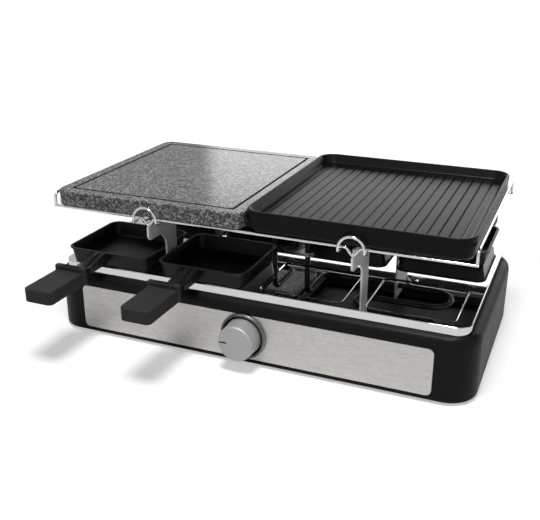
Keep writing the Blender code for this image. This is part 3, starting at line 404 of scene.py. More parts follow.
def plan(half_x, half_y, corner, height, centre=(0, 0), steps=10):
    """A rounded rectangle's points at one height, anticlockwise from above."""
    points = []
    for quarter in range(4):
        across = half_x - corner if quarter in (0, 3) else corner - half_x
        along = half_y - corner if quarter in (0, 1) else corner - half_y
        for step in range(steps + 1):
            angle = (quarter + step / steps) * math.pi / 2
            x = centre[0] + across + corner * math.cos(angle)
            y = centre[1] + along + corner * math.sin(angle)
            points.append((x, y, height))
    return points


def tiers(half, corner, section, centre=(0, 0), steps=10, least=0.0004):
    """Rings of one rounded rectangle along a section, with corners no less than a radius."""
    rings = []
    for inset, height in section:
        half_x, half_y = half[0] - inset, half[1] - inset
        rings.append(plan(half_x, half_y, max(corner - inset, least), height, centre, steps))
    return rings


def skin(bm, rings, closed=False, caps=True):
    """Faces between rings of equal count, and flat faces over the two ends."""
    loops = [[bm.verts.new(point) for point in ring] for ring in rings]
    following = loops[1:] + loops[:1] if closed else loops[1:]
    for lower, upper in zip(loops, following):
        for i, corner in enumerate(lower):
            j = (i + 1) % len(lower)
            bm.faces.new((corner, lower[j], upper[j], upper[i]))
    if caps and not closed:
        bm.faces.new(loops[0])
        bm.faces.new(loops[-1])
    return loops


# %% [markdown]
# ## From a mesh to a named piece
# A finished piece sits at the origin with its place in its mesh. It rides on a CAD body, takes
# the material of its slot, and hides the CAD nodes that it stands for. Its normals are weighted by
# the areas of the faces, so that a broad flat is shaded flat right up to a small rounded edge.


# %% Finished pieces
SHARP = math.radians(32)


def linked(name, data):
    """A new object in the scene."""
    obj = bpy.data.objects.new(name, data)
    bpy.context.scene.collection.objects.link(obj)
    return obj


def shaped(name, bm, sharp=SHARP, merge=1e-6):
    """A mesh object from a bmesh, smooth but for its sharp edges."""
    bmesh.ops.remove_doubles(bm, verts=bm.verts, dist=merge)
    bmesh.ops.recalc_face_normals(bm, faces=bm.faces)
    mesh = bpy.data.meshes.new(name)
    bm.to_mesh(mesh)
    bm.free()
    mesh.shade_smooth()
    mesh.set_sharp_from_angle(angle=sharp)
    return linked(name, mesh)


def lofted(name, rings, sharp=SHARP, closed=False):
    """A mesh object that is one loft through the rings."""
    bm = bmesh.new()
    skin(bm, rings, closed)
    return shaped(name, bm, sharp)


def block(bm, middle, size):
    """Adds a plain block to a bmesh."""
    place = Matrix.Translation(middle) @ Matrix.Diagonal((*size, 1))
    bmesh.ops.create_cube(bm, size=1, matrix=place)


def applied(obj, sharp=None):
    """The object as a plain mesh, with its modifiers worked in."""
    graph = bpy.context.evaluated_depsgraph_get()
    graph.update()
    mesh = bpy.data.meshes.new_from_object(obj.evaluated_get(graph))
    obj.modifiers.clear()
    if obj.type != "MESH":
        name = obj.name
        bpy.data.objects.remove(obj)
        obj = linked(name, mesh)
    obj.data = mesh
    if sharp:
        mesh.shade_smooth()
        mesh.set_sharp_from_angle(angle=sharp)
    return obj


def finished(obj, body, slot, *nodes):
    """Gives the piece its finish and its body, and hides the CAD nodes that it stands for."""
    weighted = obj.modifiers.new("weighted", "WEIGHTED_NORMAL")
    weighted.keep_sharp = True
    applied(obj)
    obj.data.materials.clear()
    obj.data.materials.append(finishes[slot].material)
    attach(obj, body)
    if nodes:
        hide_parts(*nodes)
    print(obj.name, "on", body, "in", slot, "with", len(obj.data.polygons), "faces")


def cut_with(obj, tool, operation="DIFFERENCE"):
    """Takes the tool's space out of the object, or adds it by UNION, and removes the tool."""
    modifier = obj.modifiers.new("cut", "BOOLEAN")
    modifier.operation = operation
    modifier.object = tool
    modifier.solver = "EXACT"
    applied(obj, SHARP)
    bpy.data.objects.remove(tool)


def bevelled(obj, width):
    """Breaks every sharp edge by a small radius."""
    modifier = obj.modifiers.new("edge", "BEVEL")
    modifier.width = width
    modifier.segments = 2
    modifier.angle_limit = math.radians(40)
    modifier.harden_normals = False
    applied(obj, SHARP)


def middle_of(node):
    low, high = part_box(node)
    return (low + high) / 2


def half_of(node):
    low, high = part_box(node)
    return (high - low) / 2


# %% [markdown]
# ## Geometry Nodes for round wires
# The heater, the rails and the arches are all one thing: a round section that follows a line. A
# small tree sweeps a circle along the line, closes its ends and sets the material. Its thickness
# and the number of sides are inputs, set by each socket's identifier. The helpers make such a
# tree, end it and run it, and the screws and the grooved plate use them too.


# %% A tree for wires
FLOAT, WHOLE, MATERIAL = "NodeSocketFloat", "NodeSocketInt", "NodeSocketMaterial"


def node_group(name, numbers):
    """The graph of a geometry tree with named inputs, and these inputs."""
    tree = bpy.data.node_groups.new(name, "GeometryNodeTree")
    shape = {"Geometry": "NodeSocketGeometry"}
    for label, kind in {**shape, **numbers, "Finish": MATERIAL}.items():
        tree.interface.new_socket(label, in_out="INPUT", socket_type=kind)
    tree.interface.new_socket("Geometry", in_out="OUTPUT", socket_type=shape["Geometry"])
    graph = Graph(tree)
    entry = tree.nodes.new("NodeGroupInput")
    inputs = {socket.name: Value(graph, socket) for socket in entry.outputs if socket.name}
    return graph, inputs


def ends_in(graph, geometry, finish):
    """Realises instances, sets the material and leaves the tree."""
    real = graph.add("GeometryNodeRealizeInstances", None, {"Geometry": geometry})
    final = graph.add("GeometryNodeSetMaterial", None, {"Geometry": real, "Material": finish})
    leave = graph.tree.nodes.new("NodeGroupOutput")
    graph.tree.links.new(final.socket, leave.inputs[0])
    return graph.tree


def grown(obj, tree, slot, sharp=SHARP, **values):
    """Runs a tree on the object with the given inputs, and keeps the result as a mesh."""
    modifier = obj.modifiers.new(tree.name, "NODES")
    modifier.node_group = tree
    values["Finish"] = finishes[slot].material
    for item in tree.interface.items_tree:
        if item.in_out == "INPUT" and item.name in values:
            modifier[item.identifier] = values[item.name]
    return applied(obj, sharp)


graph, given = node_group("round wire", {"Thickness": FLOAT, "Sides": WHOLE})
line = graph.add("GeometryNodeMeshToCurve", None, {"Mesh": given["Geometry"]})
sizes = {"Resolution": given["Sides"], "Radius": given["Thickness"] * 0.5}
circle = graph.add("GeometryNodeCurvePrimitiveCircle", None, sizes)
sockets = {0: line, "Profile Curve": circle, "Fill Caps": True}
swept = graph.add("GeometryNodeCurveToMesh", None, sockets)
wire_tree = ends_in(graph, swept, given["Finish"])
print(wire_tree.name, "has", len(wire_tree.nodes), "nodes")


def wire_along(name, points, thickness, slot, sides=20):
    """A wire of the given thickness along a line of points."""
    mesh = bpy.data.meshes.new(name)
    edges = [(i, i + 1) for i in range(len(points) - 1)]
    mesh.from_pydata([tuple(point) for point in points], edges, [])
    return grown(linked(name, mesh), wire_tree, slot, Thickness=thickness, Sides=sides)


# %% [markdown]
# ## The moulded base
# The housing is a shell with a rounded shoulder that runs up to the ledge under the tray. Its
# plan has wide corners at the foot, and they narrow along the shoulder to the tray's. A narrow
# groove in the ledge leaves a dark line round the foot of the tray's skirt. A block of the front
# plate's shape is cut out of the front, so that the plate lies flush.

# %% Base housing
base_half = half_of("housing")
base_y = middle_of("tray").y
foot_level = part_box("housing")[0].z
ledge_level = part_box("housing")[1].z
BASE_HALF_Y = 0.127
BASE_CORNER, LEDGE_CORNER = 0.032, 0.0163
SHOULDER = 0.0085
FOOT_RADIUS = 0.002
WALL_TOP, WALL = 0.063, 0.003


def base_ring(inset, height):
    """A ring of the base, whose corner narrows along the shoulder."""
    share = min(inset / SHOULDER, 1)
    corner = BASE_CORNER + (LEDGE_CORNER - BASE_CORNER) * share - max(inset - SHOULDER, 0)
    half_y = BASE_HALF_Y - inset
    return plan(base_half.x - inset, half_y, max(corner, WALL), height, (0, base_y), 14)


rings = []
for turn in (0.0, 0.5, 1.0, 1.57):
    inset, rise = FOOT_RADIUS * (1 - math.sin(turn)), FOOT_RADIUS * (1 - math.cos(turn))
    rings.append(base_ring(inset, foot_level + rise))
for step in range(13):
    turn = math.pi / 2 * step / 12
    rise = (ledge_level - WALL_TOP) * math.sin(turn)
    rings.append(base_ring(SHOULDER * (1 - math.cos(turn)), WALL_TOP + rise))
ledge = [(0.0088, 0), (0.0089, 0.0013), (0.0102, 0.0013), (0.0103, 0)]
ledge += [(0.018, 0), (0.018, WALL), (0.0088, WALL)]
rings += [base_ring(inset, ledge_level - depth) for inset, depth in ledge]
inside = (base_half.x - WALL, BASE_HALF_Y - WALL, BASE_CORNER - WALL)
rings += [plan(*inside, height, (0, base_y), 14) for height in (WALL_TOP - WALL, foot_level)]
housing = lofted("housing_shell", rings, closed=True)

plate_low, plate_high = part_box("front_fascia")
PLATE_CORNER = 0.006


def front_block(name, growth, back, front):
    """A block with the front plate's outline, from a place behind the front to one before it."""
    bm = bmesh.new()
    half_x = (plate_high.x - plate_low.x) / 2 + growth
    half_z = (plate_high.z - plate_low.z) / 2 + growth
    centre = (0, (plate_high.z + plate_low.z) / 2)
    corner = PLATE_CORNER + growth
    skin(bm, [plan(half_x, half_z, corner, place, centre, 8) for place in (-back, -front)])
    bmesh.ops.transform(bm, matrix=Matrix.Rotation(math.pi / 2, 4, "X"), verts=bm.verts)
    return shaped(name, bm)


def drilled(obj, place, radius):
    """Bores a round hole through a wall that faces the front or the rear."""
    bm = bmesh.new()
    turn = Matrix.Translation(place) @ Matrix.Rotation(-math.pi / 2, 4, "X")
    size = {"segments": 32, "radius1": radius, "radius2": radius, "depth": 0.02}
    bmesh.ops.create_cone(bm, cap_ends=True, matrix=turn, **size)
    cut_with(obj, shaped("bore", bm))


KNOB_HEIGHT = middle_of("knob").z
SHAFT_BORE, GLAND_BORE = 0.0053, 0.0068
front = plate_low.y
gland = middle_of("cord_gland")
cut_with(housing, front_block("recess", 0.0003, front + 0.0015, front - 0.004))
drilled(housing, (0, front, KNOB_HEIGHT), SHAFT_BORE)
drilled(housing, (gland.x, base_y + BASE_HALF_Y, gland.z), GLAND_BORE)
finished(housing, "base", "housing", "housing")

# %% [markdown]
# ## Front plate
# A sheet of brushed steel, let into the base. The helper that made the cutter for its recess also
# makes the sheet, so the two outlines fit. Its edge is broken by a quarter of a millimetre, which
# is what catches the light round it.

# %% Front plate
fascia = front_block("fascia_plate", 0, front + 0.0012, front)
drilled(fascia, (0, front, KNOB_HEIGHT), SHAFT_BORE)
bevelled(fascia, 0.00025)
finished(fascia, "base", "fascia", "front_fascia")

# %% [markdown]
# ## Screws underneath
# Six domed screws hold the bottom plate. One head is lofted and gets a cross in its face. It could
# be copied by hand, but a small tree sets it on a grid of points, whose size and counts are inputs.

# %% Screws
counts = {"Across": FLOAT, "Along": FLOAT, "Columns": WHOLE, "Rows": WHOLE}
graph, given = node_group("grid of heads", counts)
sizes = {"Size X": given["Across"], "Size Y": given["Along"]}
sizes.update({"Vertices X": given["Columns"], "Vertices Y": given["Rows"]})
points = graph.add("GeometryNodeMeshGrid", None, sizes)
sockets = {"Points": points, "Instance": given["Geometry"]}
heads = graph.add("GeometryNodeInstanceOnPoints", None, sockets)
head_tree = ends_in(graph, heads, given["Finish"])

dome = [(0.0036, 0.0), (0.0036, 0.0005), (0.0033, 0.0011)]
dome += [(0.0026, 0.0016), (0.0015, 0.0019), (0.0006, 0.002)]
screw = lofted("screws", [plan(radius, radius, radius, -drop, steps=8) for radius, drop in dome])
for size in ((0.0042, 0.0008), (0.0008, 0.0042)):
    bm = bmesh.new()
    block(bm, (0, 0, -0.0016), (*size, 0.0014))
    cut_with(screw, shaped("cross", bm))
screws = grown(screw, head_tree, "zinc", Across=0.3, Along=0.204, Columns=3, Rows=2)
screws.data.transform(Matrix.Translation((0, base_y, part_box("bottom_plate")[0].z)))
finished(screws, "base", "zinc")

# %% [markdown]
# ## The tray
# One pressed sheet of polished steel: a rolled rim with a skirt, and eight shallow places for the
# pans. Because it is a mirror, its flat parts have to be exactly flat, or the reflections bend. So
# the flat is one filled face with holes, whose border lies clear of every rounded edge, and the
# presses and the rim are lofted onto it. Solidify gives the sheet its thickness underneath.

# %% Tray
tray_mid = middle_of("tray")
tray_half = half_of("tray")
tray_foot, tray_top = (corner.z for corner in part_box("tray"))
SHEET, TRAY_CORNER, PRESS = 0.001, 0.016, 0.0012
PLACE_HALF, PLACE_CORNER = (0.04615, 0.0415), 0.008
PLACE_X, PLACE_Y = (-0.171, -0.05485, 0.05485, 0.171), 0.0665
SLOT_Y, TUBE_HOLE = 0.0775, 0.0036
place_centres = [(x, tray_mid.y + y) for x in PLACE_X for y in (-PLACE_Y, PLACE_Y)]
post_x = [middle_of(name).x for name in ("post_front_left", "post_front_right")]
leg_x, leg_y = 0.021, middle_of("heater_plate").y


def circle_points(x, y, radius, height, count=32):
    angles = [2 * math.pi * i / count for i in range(count)]
    return [(x + radius * math.cos(a), y + radius * math.sin(a), height) for a in angles]


def filled(name, outlines, thickness=0, place=Matrix()):
    """A bmesh filled between flat outlines, as thick as asked, and set in its place."""
    curve = bpy.data.curves.new(name, "CURVE")
    curve.dimensions = "2D"
    curve.fill_mode = "BOTH"
    curve.extrude = thickness / 2
    for outline in outlines:
        spline = curve.splines.new("POLY")
        spline.points.add(len(outline) - 1)
        for point, (x, y, *_) in zip(spline.points, outline):
            point.co = (x, y, 0, 1)
        spline.use_cyclic_u = True
    flat = applied(linked(name, curve))
    flat.data.transform(place)
    bm = bmesh.new()
    bm.from_mesh(flat.data)
    bpy.data.objects.remove(flat)
    return bm


press_section = [(-0.0006, tray_top, 0), (0, tray_top, 0.0007)]
press_section += [(0.0011, tray_top - PRESS, 0.0007), (0.0032, tray_top - PRESS, 0)]
press_section = profile(press_section, 5)
rim_section = profile([(0.002, tray_top, 0), (0, tray_top, 0.0012), (0, tray_foot, 0)], 6)
presses = [tiers(PLACE_HALF, PLACE_CORNER, press_section, place) for place in place_centres]
rim = tiers(tray_half, TRAY_CORNER, rim_section, tray_mid.xy, 12)
borders = [rings[0] for rings in (rim, *presses)]
for x in post_x:
    for side in (-1, 1):
        centre = (x, tray_mid.y + side * SLOT_Y)
        borders.append(plan(0.0013, 0.0113, 0.0006, tray_top, centre, 3))
borders += [circle_points(side * leg_x, leg_y, TUBE_HOLE, tray_top) for side in (-1, 1)]
bm = filled("tray_flat", borders)
doubled = [face for face in bm.faces if face.normal.z < 0]
bmesh.ops.delete(bm, geom=doubled, context="FACES_ONLY")
for vert in bm.verts:
    vert.co.z = tray_top
for rings in presses:
    bm.faces.new(skin(bm, rings, caps=False)[-1])
skin(bm, rim, caps=False)
sheet = shaped("tray_sheet", bm, sharp=math.radians(60), merge=0.00002)
solid = sheet.modifiers.new("sheet", "SOLIDIFY")
solid.thickness = SHEET
solid.offset = -1
sheet = applied(sheet, math.radians(60))
finished(sheet, "base", "tray", "tray")

# %% [markdown]
# ## Posts
# Four stamped posts stand in slots of the tray. Each has a leg, a broad arm that reaches outwards
# and a step in its tip that the wire lies in. The outline is drawn once as (y, z), mirrored for
# the front, and cut from two-millimetre sheet. The heater runs through a hole in the rear ones.
# A filled curve takes such a hole without a boolean, and its extrusion is the sheet's thickness.

# %% Posts
POST_SHEET = 0.002
ROWS = (("front", -1), ("rear", 1))


def arc(centre, radius, start, end, steps=12):
    """Points on a circle in a plane, from one angle to another, in degrees."""
    angles = [math.radians(start + (end - start) * i / steps) for i in range(steps + 1)]
    return [(centre[0] + radius * math.cos(a), centre[1] + radius * math.sin(a)) for a in angles]


def post_outline(foot, top, seat):
    leg, inner, outer, step_y = 0.0885, 0.0665, 0.126, 0.1217
    arm, fillet, tip, corner = 0.1255, 0.018, 0.006, 0.004
    points = [(inner, foot), (leg, foot)]
    points += arc((leg + fillet, arm - fillet), fillet, 180, 90)
    points += arc((outer - tip, arm + tip), tip, -90, 0)
    points += [(outer, seat), (step_y, seat), (step_y, top)]
    points += arc((inner + corner, top - corner), corner, 90, 180)
    return points


TUBE, RUN_Y = 0.0065, 0.0785
RAIL_LEVEL, DIP, SEAT = 0.1506, 0.0077, 0.0018
heater_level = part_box("heater")[1].z - TUBE / 2
upright = Matrix.Rotation(math.pi / 2, 4, "Z") @ Matrix.Rotation(math.pi / 2, 4, "X")
for depth, side in ROWS:
    for across in ("left", "right"):
        node = "post_" + depth + "_" + across
        low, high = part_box(node)
        outlines = [post_outline(low.z, high.z, RAIL_LEVEL - DIP - SEAT)]
        if depth == "rear":
            outlines.append(arc((RUN_Y, heater_level), TUBE_HOLE, 0, 345, 23))
        outlines = [[(side * y, z) for y, z in outline] for outline in outlines]
        place = Matrix.Translation((middle_of(node).x, base_y, 0)) @ upright
        name = node + "_plate"
        post = shaped(name, filled(name, outlines, POST_SHEET, place))
        bevelled(post, 0.0002)
        finished(post, "base", "post", node)

# %% [markdown]
# ## The heater
# One steel tube: up a leg, back, out along four runs at each side, across the front, and home. A
# curve drawn by hand would do, but a list of corners with bend radii keeps each bend a true arc.
# The wire tree above gives the line its round section.

# %% Heater
LEG_FOOT, FAR, NEAR, TURN = 0.049, 0.067, 0.0182, 0.0244
REACH_X, TURN_X, BEND = 0.186, 0.082, 0.012
corners = [(leg_x, FAR, BEND), (REACH_X, FAR, TURN), (REACH_X, NEAR, TURN), (TURN_X, NEAR, NEAR)]
corners += [(TURN_X, -NEAR, NEAR), (REACH_X, -NEAR, TURN), (REACH_X, -FAR, TURN)]
half_line = [((leg_x, 0, LEG_FOOT), 0), ((leg_x, 0, heater_level), BEND)]
half_line += [((x, y, heater_level), radius) for x, y, radius in corners]
other_half = [((-x, y, z), radius) for (x, y, z), radius in reversed(half_line)]
run = [point + Vector((0, leg_y, 0)) for point in rounded(half_line + other_half, 14)]
heater = wire_along("heater_tube", run, TUBE, "heater", 24)
finished(heater, "base", "heater", "heater")

# %% [markdown]
# ## Wire frame and stops
# Three-millimetre wire, chromed. The rails dip over each post, and a small arch over each dip
# keeps the two plates from sliding forward or back. All are lines for the same wire tree, which
# gives every wire a round section and closed ends.

# %% Wires
WIRE, RAIL_Y, SIDE_LEVEL, DIP_HALF = 0.003, 0.1235, 0.165, 0.0085
ARCH_Y, ARCH_LEVEL, ARCH_RADIUS = 0.131, 0.1508, 0.0135
frame_mid = (middle_of("rail_left").x + middle_of("rail_right").x) / 2
frame_half = (middle_of("rail_right").x - middle_of("rail_left").x) / 2


def rail_line(side):
    y = base_y + side * RAIL_Y
    points = [Vector((frame_mid - frame_half - WIRE / 2, y, RAIL_LEVEL))]
    for x in post_x:
        for step in range(25):
            along = step / 12 - 1
            drop = DIP * math.cos(math.pi / 2 * along) ** 2
            points.append(Vector((x + along * DIP_HALF, y, RAIL_LEVEL - drop)))
    points.append(Vector((frame_mid + frame_half + WIRE / 2, y, RAIL_LEVEL)))
    return points


for depth, side in ROWS:
    rail = wire_along("rail_wire_" + depth, rail_line(side), WIRE, "wire")
    finished(rail, "base", "wire", "rail_" + depth)
for across in ("left", "right"):
    x = middle_of("rail_" + across).x
    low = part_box("rail_" + across)[0].z
    front_y, rear_y = base_y - RAIL_Y, base_y + RAIL_Y
    corners = [((x, front_y, low), 0), ((x, front_y, SIDE_LEVEL), 0.005)]
    corners += [((x, rear_y, SIDE_LEVEL), 0.005), ((x, rear_y, low), 0)]
    side_wire = wire_along("side_wire_" + across, rounded(corners, 8), WIRE, "wire")
    finished(side_wire, "base", "wire", "rail_" + across)
for depth, side in ROWS:
    for across, x in zip(("left", "right"), post_x):
        node = "plate_stop_" + depth + "_" + across
        y, tail = base_y + side * ARCH_Y, base_y + side * RAIL_Y
        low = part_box(node)[0].z + WIRE / 2
        left = x - ARCH_RADIUS
        corners = [((left, tail, low), 0), ((left, y, low), 0.003), ((left, y, ARCH_LEVEL), 0)]
        rise = rounded(corners, 6)
        crown = arc((x, ARCH_LEVEL), ARCH_RADIUS, 180, 0, 28)
        crown = [Vector((px, y, pz)) for px, pz in crown]
        fall = [Vector((2 * x - point.x, point.y, point.z)) for point in reversed(rise)]
        line = rise[:-1] + crown + fall[1:]
        arch = wire_along("arch_" + depth + "_" + across, line, WIRE, "wire")
        finished(arch, "base", "wire", node)

# %% [markdown]
# ## The stone plate
# A slab sawn from granite, with its edges eased by a millimetre and a juice groove milled round
# its top. The groove could be cut by a boolean, but as a part of the profile it keeps clean rings
# of faces. Every point in it gets the value 1, which the finish reads to make it matt and to paint
# shade into it there.

# %% Stone plate
slab_low, slab_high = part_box("stone_plate")
slab_mid, slab_half = middle_of("stone_plate"), half_of("stone_plate")
top = slab_high.z
groove = top - 0.0023
BAND, LIP = 0.0125, 0.00002
section = profile(
    [
        (0.006, slab_low.z, 0),
        (0, slab_low.z, 0.001),
        (0, top, 0.0012),
        (0.0129, top, 0.0002),
        (0.0136, groove, 0.0005),
        (0.0154, groove, 0.0005),
        (0.0161, top, 0.0002),
        (0.024, top, 0),
    ]
)
rings = []
for inset, height in section:
    half_x, half_y = slab_half.x - inset, slab_half.y - inset
    corner = max(0.012 - inset, 0.003 - inset / 12)
    rings.append(plan(half_x, half_y, corner, height, slab_mid.xy))
slab = lofted("stone_slab", rings, math.radians(50))
# The groove's points get 1, where the finish paints shade and makes the stone matt.
hollow = slab.data.attributes.new("hollow", "FLOAT", "POINT")
for vert, share in zip(slab.data.vertices, hollow.data):
    across, along = (abs(vert.co[i] - slab_mid[i]) - slab_half[i] for i in (0, 1))
    share.value = float(vert.co.z < top - LIP and max(across, along) < -BAND)
finished(slab, "stone", "stone", "stone_plate")

# %% [markdown]
# ## The grill plate
# Cast metal with long grooves in its floor. The floor is a grid whose outer points lie on a
# rounded rectangle, and a geometry tree pulls it down along every groove: the distance to the
# nearest groove comes from the remainder of x over the pitch, and the ends fade out over two
# millimetres. The walls are lofted from the same outer points, so the cooking side is one skin.

# %% Grill plate, the floor's rule
GROOVES, PITCH, FADE = 19, 0.01086, 0.002
labels = ("Pitch", "Width", "Depth", "Reach", "Across", "Middle X", "Middle Y")
graph, given = node_group("grooved floor", dict.fromkeys(labels, FLOAT))
position = graph.add("GeometryNodeInputPosition")
split = graph.add("ShaderNodeSeparateXYZ", None, {0: position})
x_off = split - given["Middle X"]
y_off = Value(graph, split.socket.node.outputs[1]) - given["Middle Y"]
y_off = y_off.math("ABSOLUTE", y_off)
nearest = x_off.math("PINGPONG", x_off, given["Pitch"] * 0.5)
inside = 1 - nearest.math("DIVIDE", nearest, given["Width"])
valley = inside.math("MAXIMUM", inside, 0.0)
valley = valley.math("SMOOTH_MIN", valley, 0.8, 0.25)
ends = (given["Reach"] - y_off) * (1 / FADE)
ends = ends.math("MINIMUM", ends.math("MAXIMUM", ends, 0.0), 1.0)
x_abs = x_off.math("ABSOLUTE", x_off)
sides = x_abs.math("LESS_THAN", x_abs, given["Across"])
drop = valley * ends * sides * given["Depth"] * -1.0
offset = graph.add("ShaderNodeCombineXYZ", None, {"Z": drop})
sockets = {"Geometry": given["Geometry"], "Offset": offset}
pulled = graph.add("GeometryNodeSetPosition", None, sockets)
floor_tree = ends_in(graph, pulled, given["Finish"])

# %% Grill plate, floor and walls
dish_low, dish_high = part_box("grill_plate")
dish_mid, dish_half = middle_of("grill_plate"), half_of("grill_plate")
FLOOR_LEVEL, FLOOR_INSET, FLOOR_CORNER = 0.1654, 0.0113, 0.0077
UNDER_LEVEL, UNDER_INSET = 0.1604, 0.0183
floor_half = (dish_half.x - FLOOR_INSET, dish_half.y - FLOOR_INSET)
inner = [half - FLOOR_CORNER for half in floor_half]


def floor_axis(half, spacing):
    """Places along one side: close together in the corner squares, evenly between them."""
    count = max(2, round(2 * half / spacing))
    middle = [-half + 2 * half * i / count for i in range(count + 1)]
    edge = [half + FLOOR_CORNER * (i + 1) / 6 for i in range(6)]
    return [-place for place in reversed(edge)] + middle + edge


def on_floor(x, y):
    """Draws the corner squares in to quarter circles."""
    u, v = (abs(x) - inner[0]) / FLOOR_CORNER, (abs(y) - inner[1]) / FLOOR_CORNER
    if u > 0 and v > 0:
        reach = max(u, v)
        angle = math.pi / 4 * (v / u) if u >= v else math.pi / 2 - math.pi / 4 * (u / v)
        x = math.copysign(inner[0] + reach * FLOOR_CORNER * math.cos(angle), x)
        y = math.copysign(inner[1] + reach * FLOOR_CORNER * math.sin(angle), y)
    return dish_mid.x + x, dish_mid.y + y


columns, rows = floor_axis(inner[0], PITCH / 20), floor_axis(inner[1], 0.0045)
bm = bmesh.new()
grid = [[bm.verts.new((*on_floor(x, y), FLOOR_LEVEL)) for x in columns] for y in rows]
for lower, upper in zip(grid, grid[1:]):
    for i in range(len(columns) - 1):
        bm.faces.new((lower[i], lower[i + 1], upper[i + 1], upper[i]))
floor = shaped("grill_floor", bm, sharp=math.radians(80))
sizes = {"Pitch": PITCH, "Width": 0.001, "Depth": 0.0016, "Reach": floor_half[1] - 0.003}
sizes.update({"Across": PITCH * GROOVES / 2, "Middle X": dish_mid.x, "Middle Y": dish_mid.y})
floor = grown(floor, floor_tree, "grill", math.radians(80), **sizes)

rim = dish_high.z
section = profile(
    [
        (FLOOR_INSET, FLOOR_LEVEL, 0),
        (FLOOR_INSET - 0.003, FLOOR_LEVEL, 0.0028),
        (0.0028, rim, 0.0012),
        (0, rim, 0.0011),
        (0.0012, 0.1565, 0.002),
        (0.0032, 0.1525, 0),
        (0.007, dish_low.z, 0.0006),
        (0.015, dish_low.z, 0.0006),
        (0.0178, UNDER_LEVEL, 0.002),
        (0.026, UNDER_LEVEL, 0),
    ],
    5,
)
outer = [(x, rows[0]) for x in columns] + [(columns[-1], y) for y in rows[1:]]
outer += [(x, rows[-1]) for x in reversed(columns[:-1])]
outer += [(columns[0], y) for y in reversed(rows[1:-1])]
TIGHTEST = 0.001


def dish_ring(inset, height):
    """The floor's outer points moved outwards or inwards to another inset."""
    points = []
    for x, y in outer:
        px, py = on_floor(x, y)
        px, py = px - dish_mid.x, py - dish_mid.y
        corner = Vector((max(abs(px) - inner[0], 0), max(abs(py) - inner[1], 0)))
        grow = corner.normalized() * (FLOOR_INSET - inset)
        if corner.length + FLOOR_INSET - inset < TIGHTEST:
            grow = corner.normalized() * (TIGHTEST - corner.length)
        px = math.copysign(abs(px) + grow.x, px)
        py = math.copysign(abs(py) + grow.y, py)
        points.append((dish_mid.x + px, dish_mid.y + py, height))
    return points


# The section's last corner only turns the one before it, and one face closes the underside there.
section = [(max(inset, 0), height) for inset, height in section if inset < UNDER_INSET]
rings = [dish_ring(inset, height) for inset, height in section]
bm = bmesh.new()
bm.faces.new(skin(bm, rings, caps=False)[-1])
bm.from_mesh(floor.data)
bpy.data.objects.remove(floor)
dish = shaped("grill_dish", bm, sharp=math.radians(48), merge=0.00002)
finished(dish, "grill", "grill", "grill_plate")

# %% [markdown]
# ## Pans and grips
# All six pans are the same pressing, so the mesh is made once and copied. The pan is a lofted
# section with a rolled rim, and its neck is a second loft: two ribs with a groove between them,
# and a web that slopes away to the left. The grip is a moulded slab with a guard across its root.

# %% Pan
PAN_HALF, PAN_CORNER = (0.0525, 0.0505), 0.012
pan_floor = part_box("pan_front_1")[0].z
pan_rim = pan_floor + 0.018
pan_section = profile(
    [
        (0.016, pan_floor, 0),
        (0.005, pan_floor, 0.0014),
        (0.0018, pan_rim - 0.0016, 0.0004),
        (0, pan_rim - 0.0016, 0.0005),
        (0, pan_rim, 0.0006),
        (0.0026, pan_rim, 0.0008),
        (0.0065, pan_floor + 0.0015, 0.0028),
        (0.0145, pan_floor + 0.0015, 0),
    ],
    5,
)


def neck_section(y, top, web):
    """Across the neck, from its left foot over the two ribs to its right foot."""
    offset, low = 0.006, 0.0885
    shape = [
        ((offset - web, 0, low), 0),
        ((-0.0065, 0, top), 0.001),
        ((-0.0014, 0, top), 0.0004),
        ((-0.0009, 0, top - 0.002), 0.0004),
        ((0.0009, 0, top - 0.002), 0.0004),
        ((0.0014, 0, top), 0.0004),
        ((0.0065, 0, top), 0.001),
        ((0.0071, 0, low), 0),
    ]
    return [(point.x - offset, y, point.z) for point in rounded(shape, 4)]


NECK_START, NECK_END, NECK_FALL = -PAN_HALF[1] + 0.0016, -0.0828, 0.006
sections = []
for step in range(17):
    along = step / 16
    fall = 0.5 - 0.5 * math.cos(math.pi * min(max(along * 1.08 - 0.04, 0), 1))
    y = NECK_START + (NECK_END - NECK_START) * along
    sections.append(neck_section(y, pan_rim - 0.0003 - NECK_FALL * fall, 0.03 - 0.004 * along))
bm = bmesh.new()
skin(bm, tiers(PAN_HALF, PAN_CORNER, pan_section, least=0.002))
skin(bm, sections)
block(bm, (-0.012, -0.1008, 0.08875), (0.011, 0.0355, 0.0025))
pan = shaped("pan_form", bm, sharp=math.radians(45))

# %% Grip
GRIP_TOP, GRIP_LOW, GUARD_TOP, GUARD_LOW = 0.091, 0.076, 0.096, 0.0772
GRIP_HALF, GUARD_HALF = (0.01725, 0.032), (0.01925, 0.0035)
grip_mid, guard_mid, slot_mid = (-0.0213, -0.1145), (-0.0213, -0.086), (-0.0203, -0.0872)


def slab_section(low, high, inset, lower_radius, upper_radius):
    """The section of a slab with rounded edges."""
    corners = [(inset, low, 0), (0, low, lower_radius), (0, high, upper_radius), (inset, high, 0)]
    return profile(corners)


section = slab_section(GRIP_LOW, GRIP_TOP, 0.006, 0.0014, 0.0014)
grip = lofted("grip_form", tiers(GRIP_HALF, 0.006, section, grip_mid, 8, 0.0008))
section = slab_section(GUARD_LOW, GUARD_TOP, 0.0016, 0.0005, 0.0014)
guard = lofted("guard_form", tiers(GUARD_HALF, 0.0024, section, guard_mid, 6))
cut_with(grip, guard, "UNION")
slot_rings = [plan(0.0115, 0.0012, 0.0011, height, slot_mid, 5) for height in (0.0925, 0.098)]
cut_with(grip, lofted("guard_slot", slot_rings))
bevelled(grip, 0.0003)

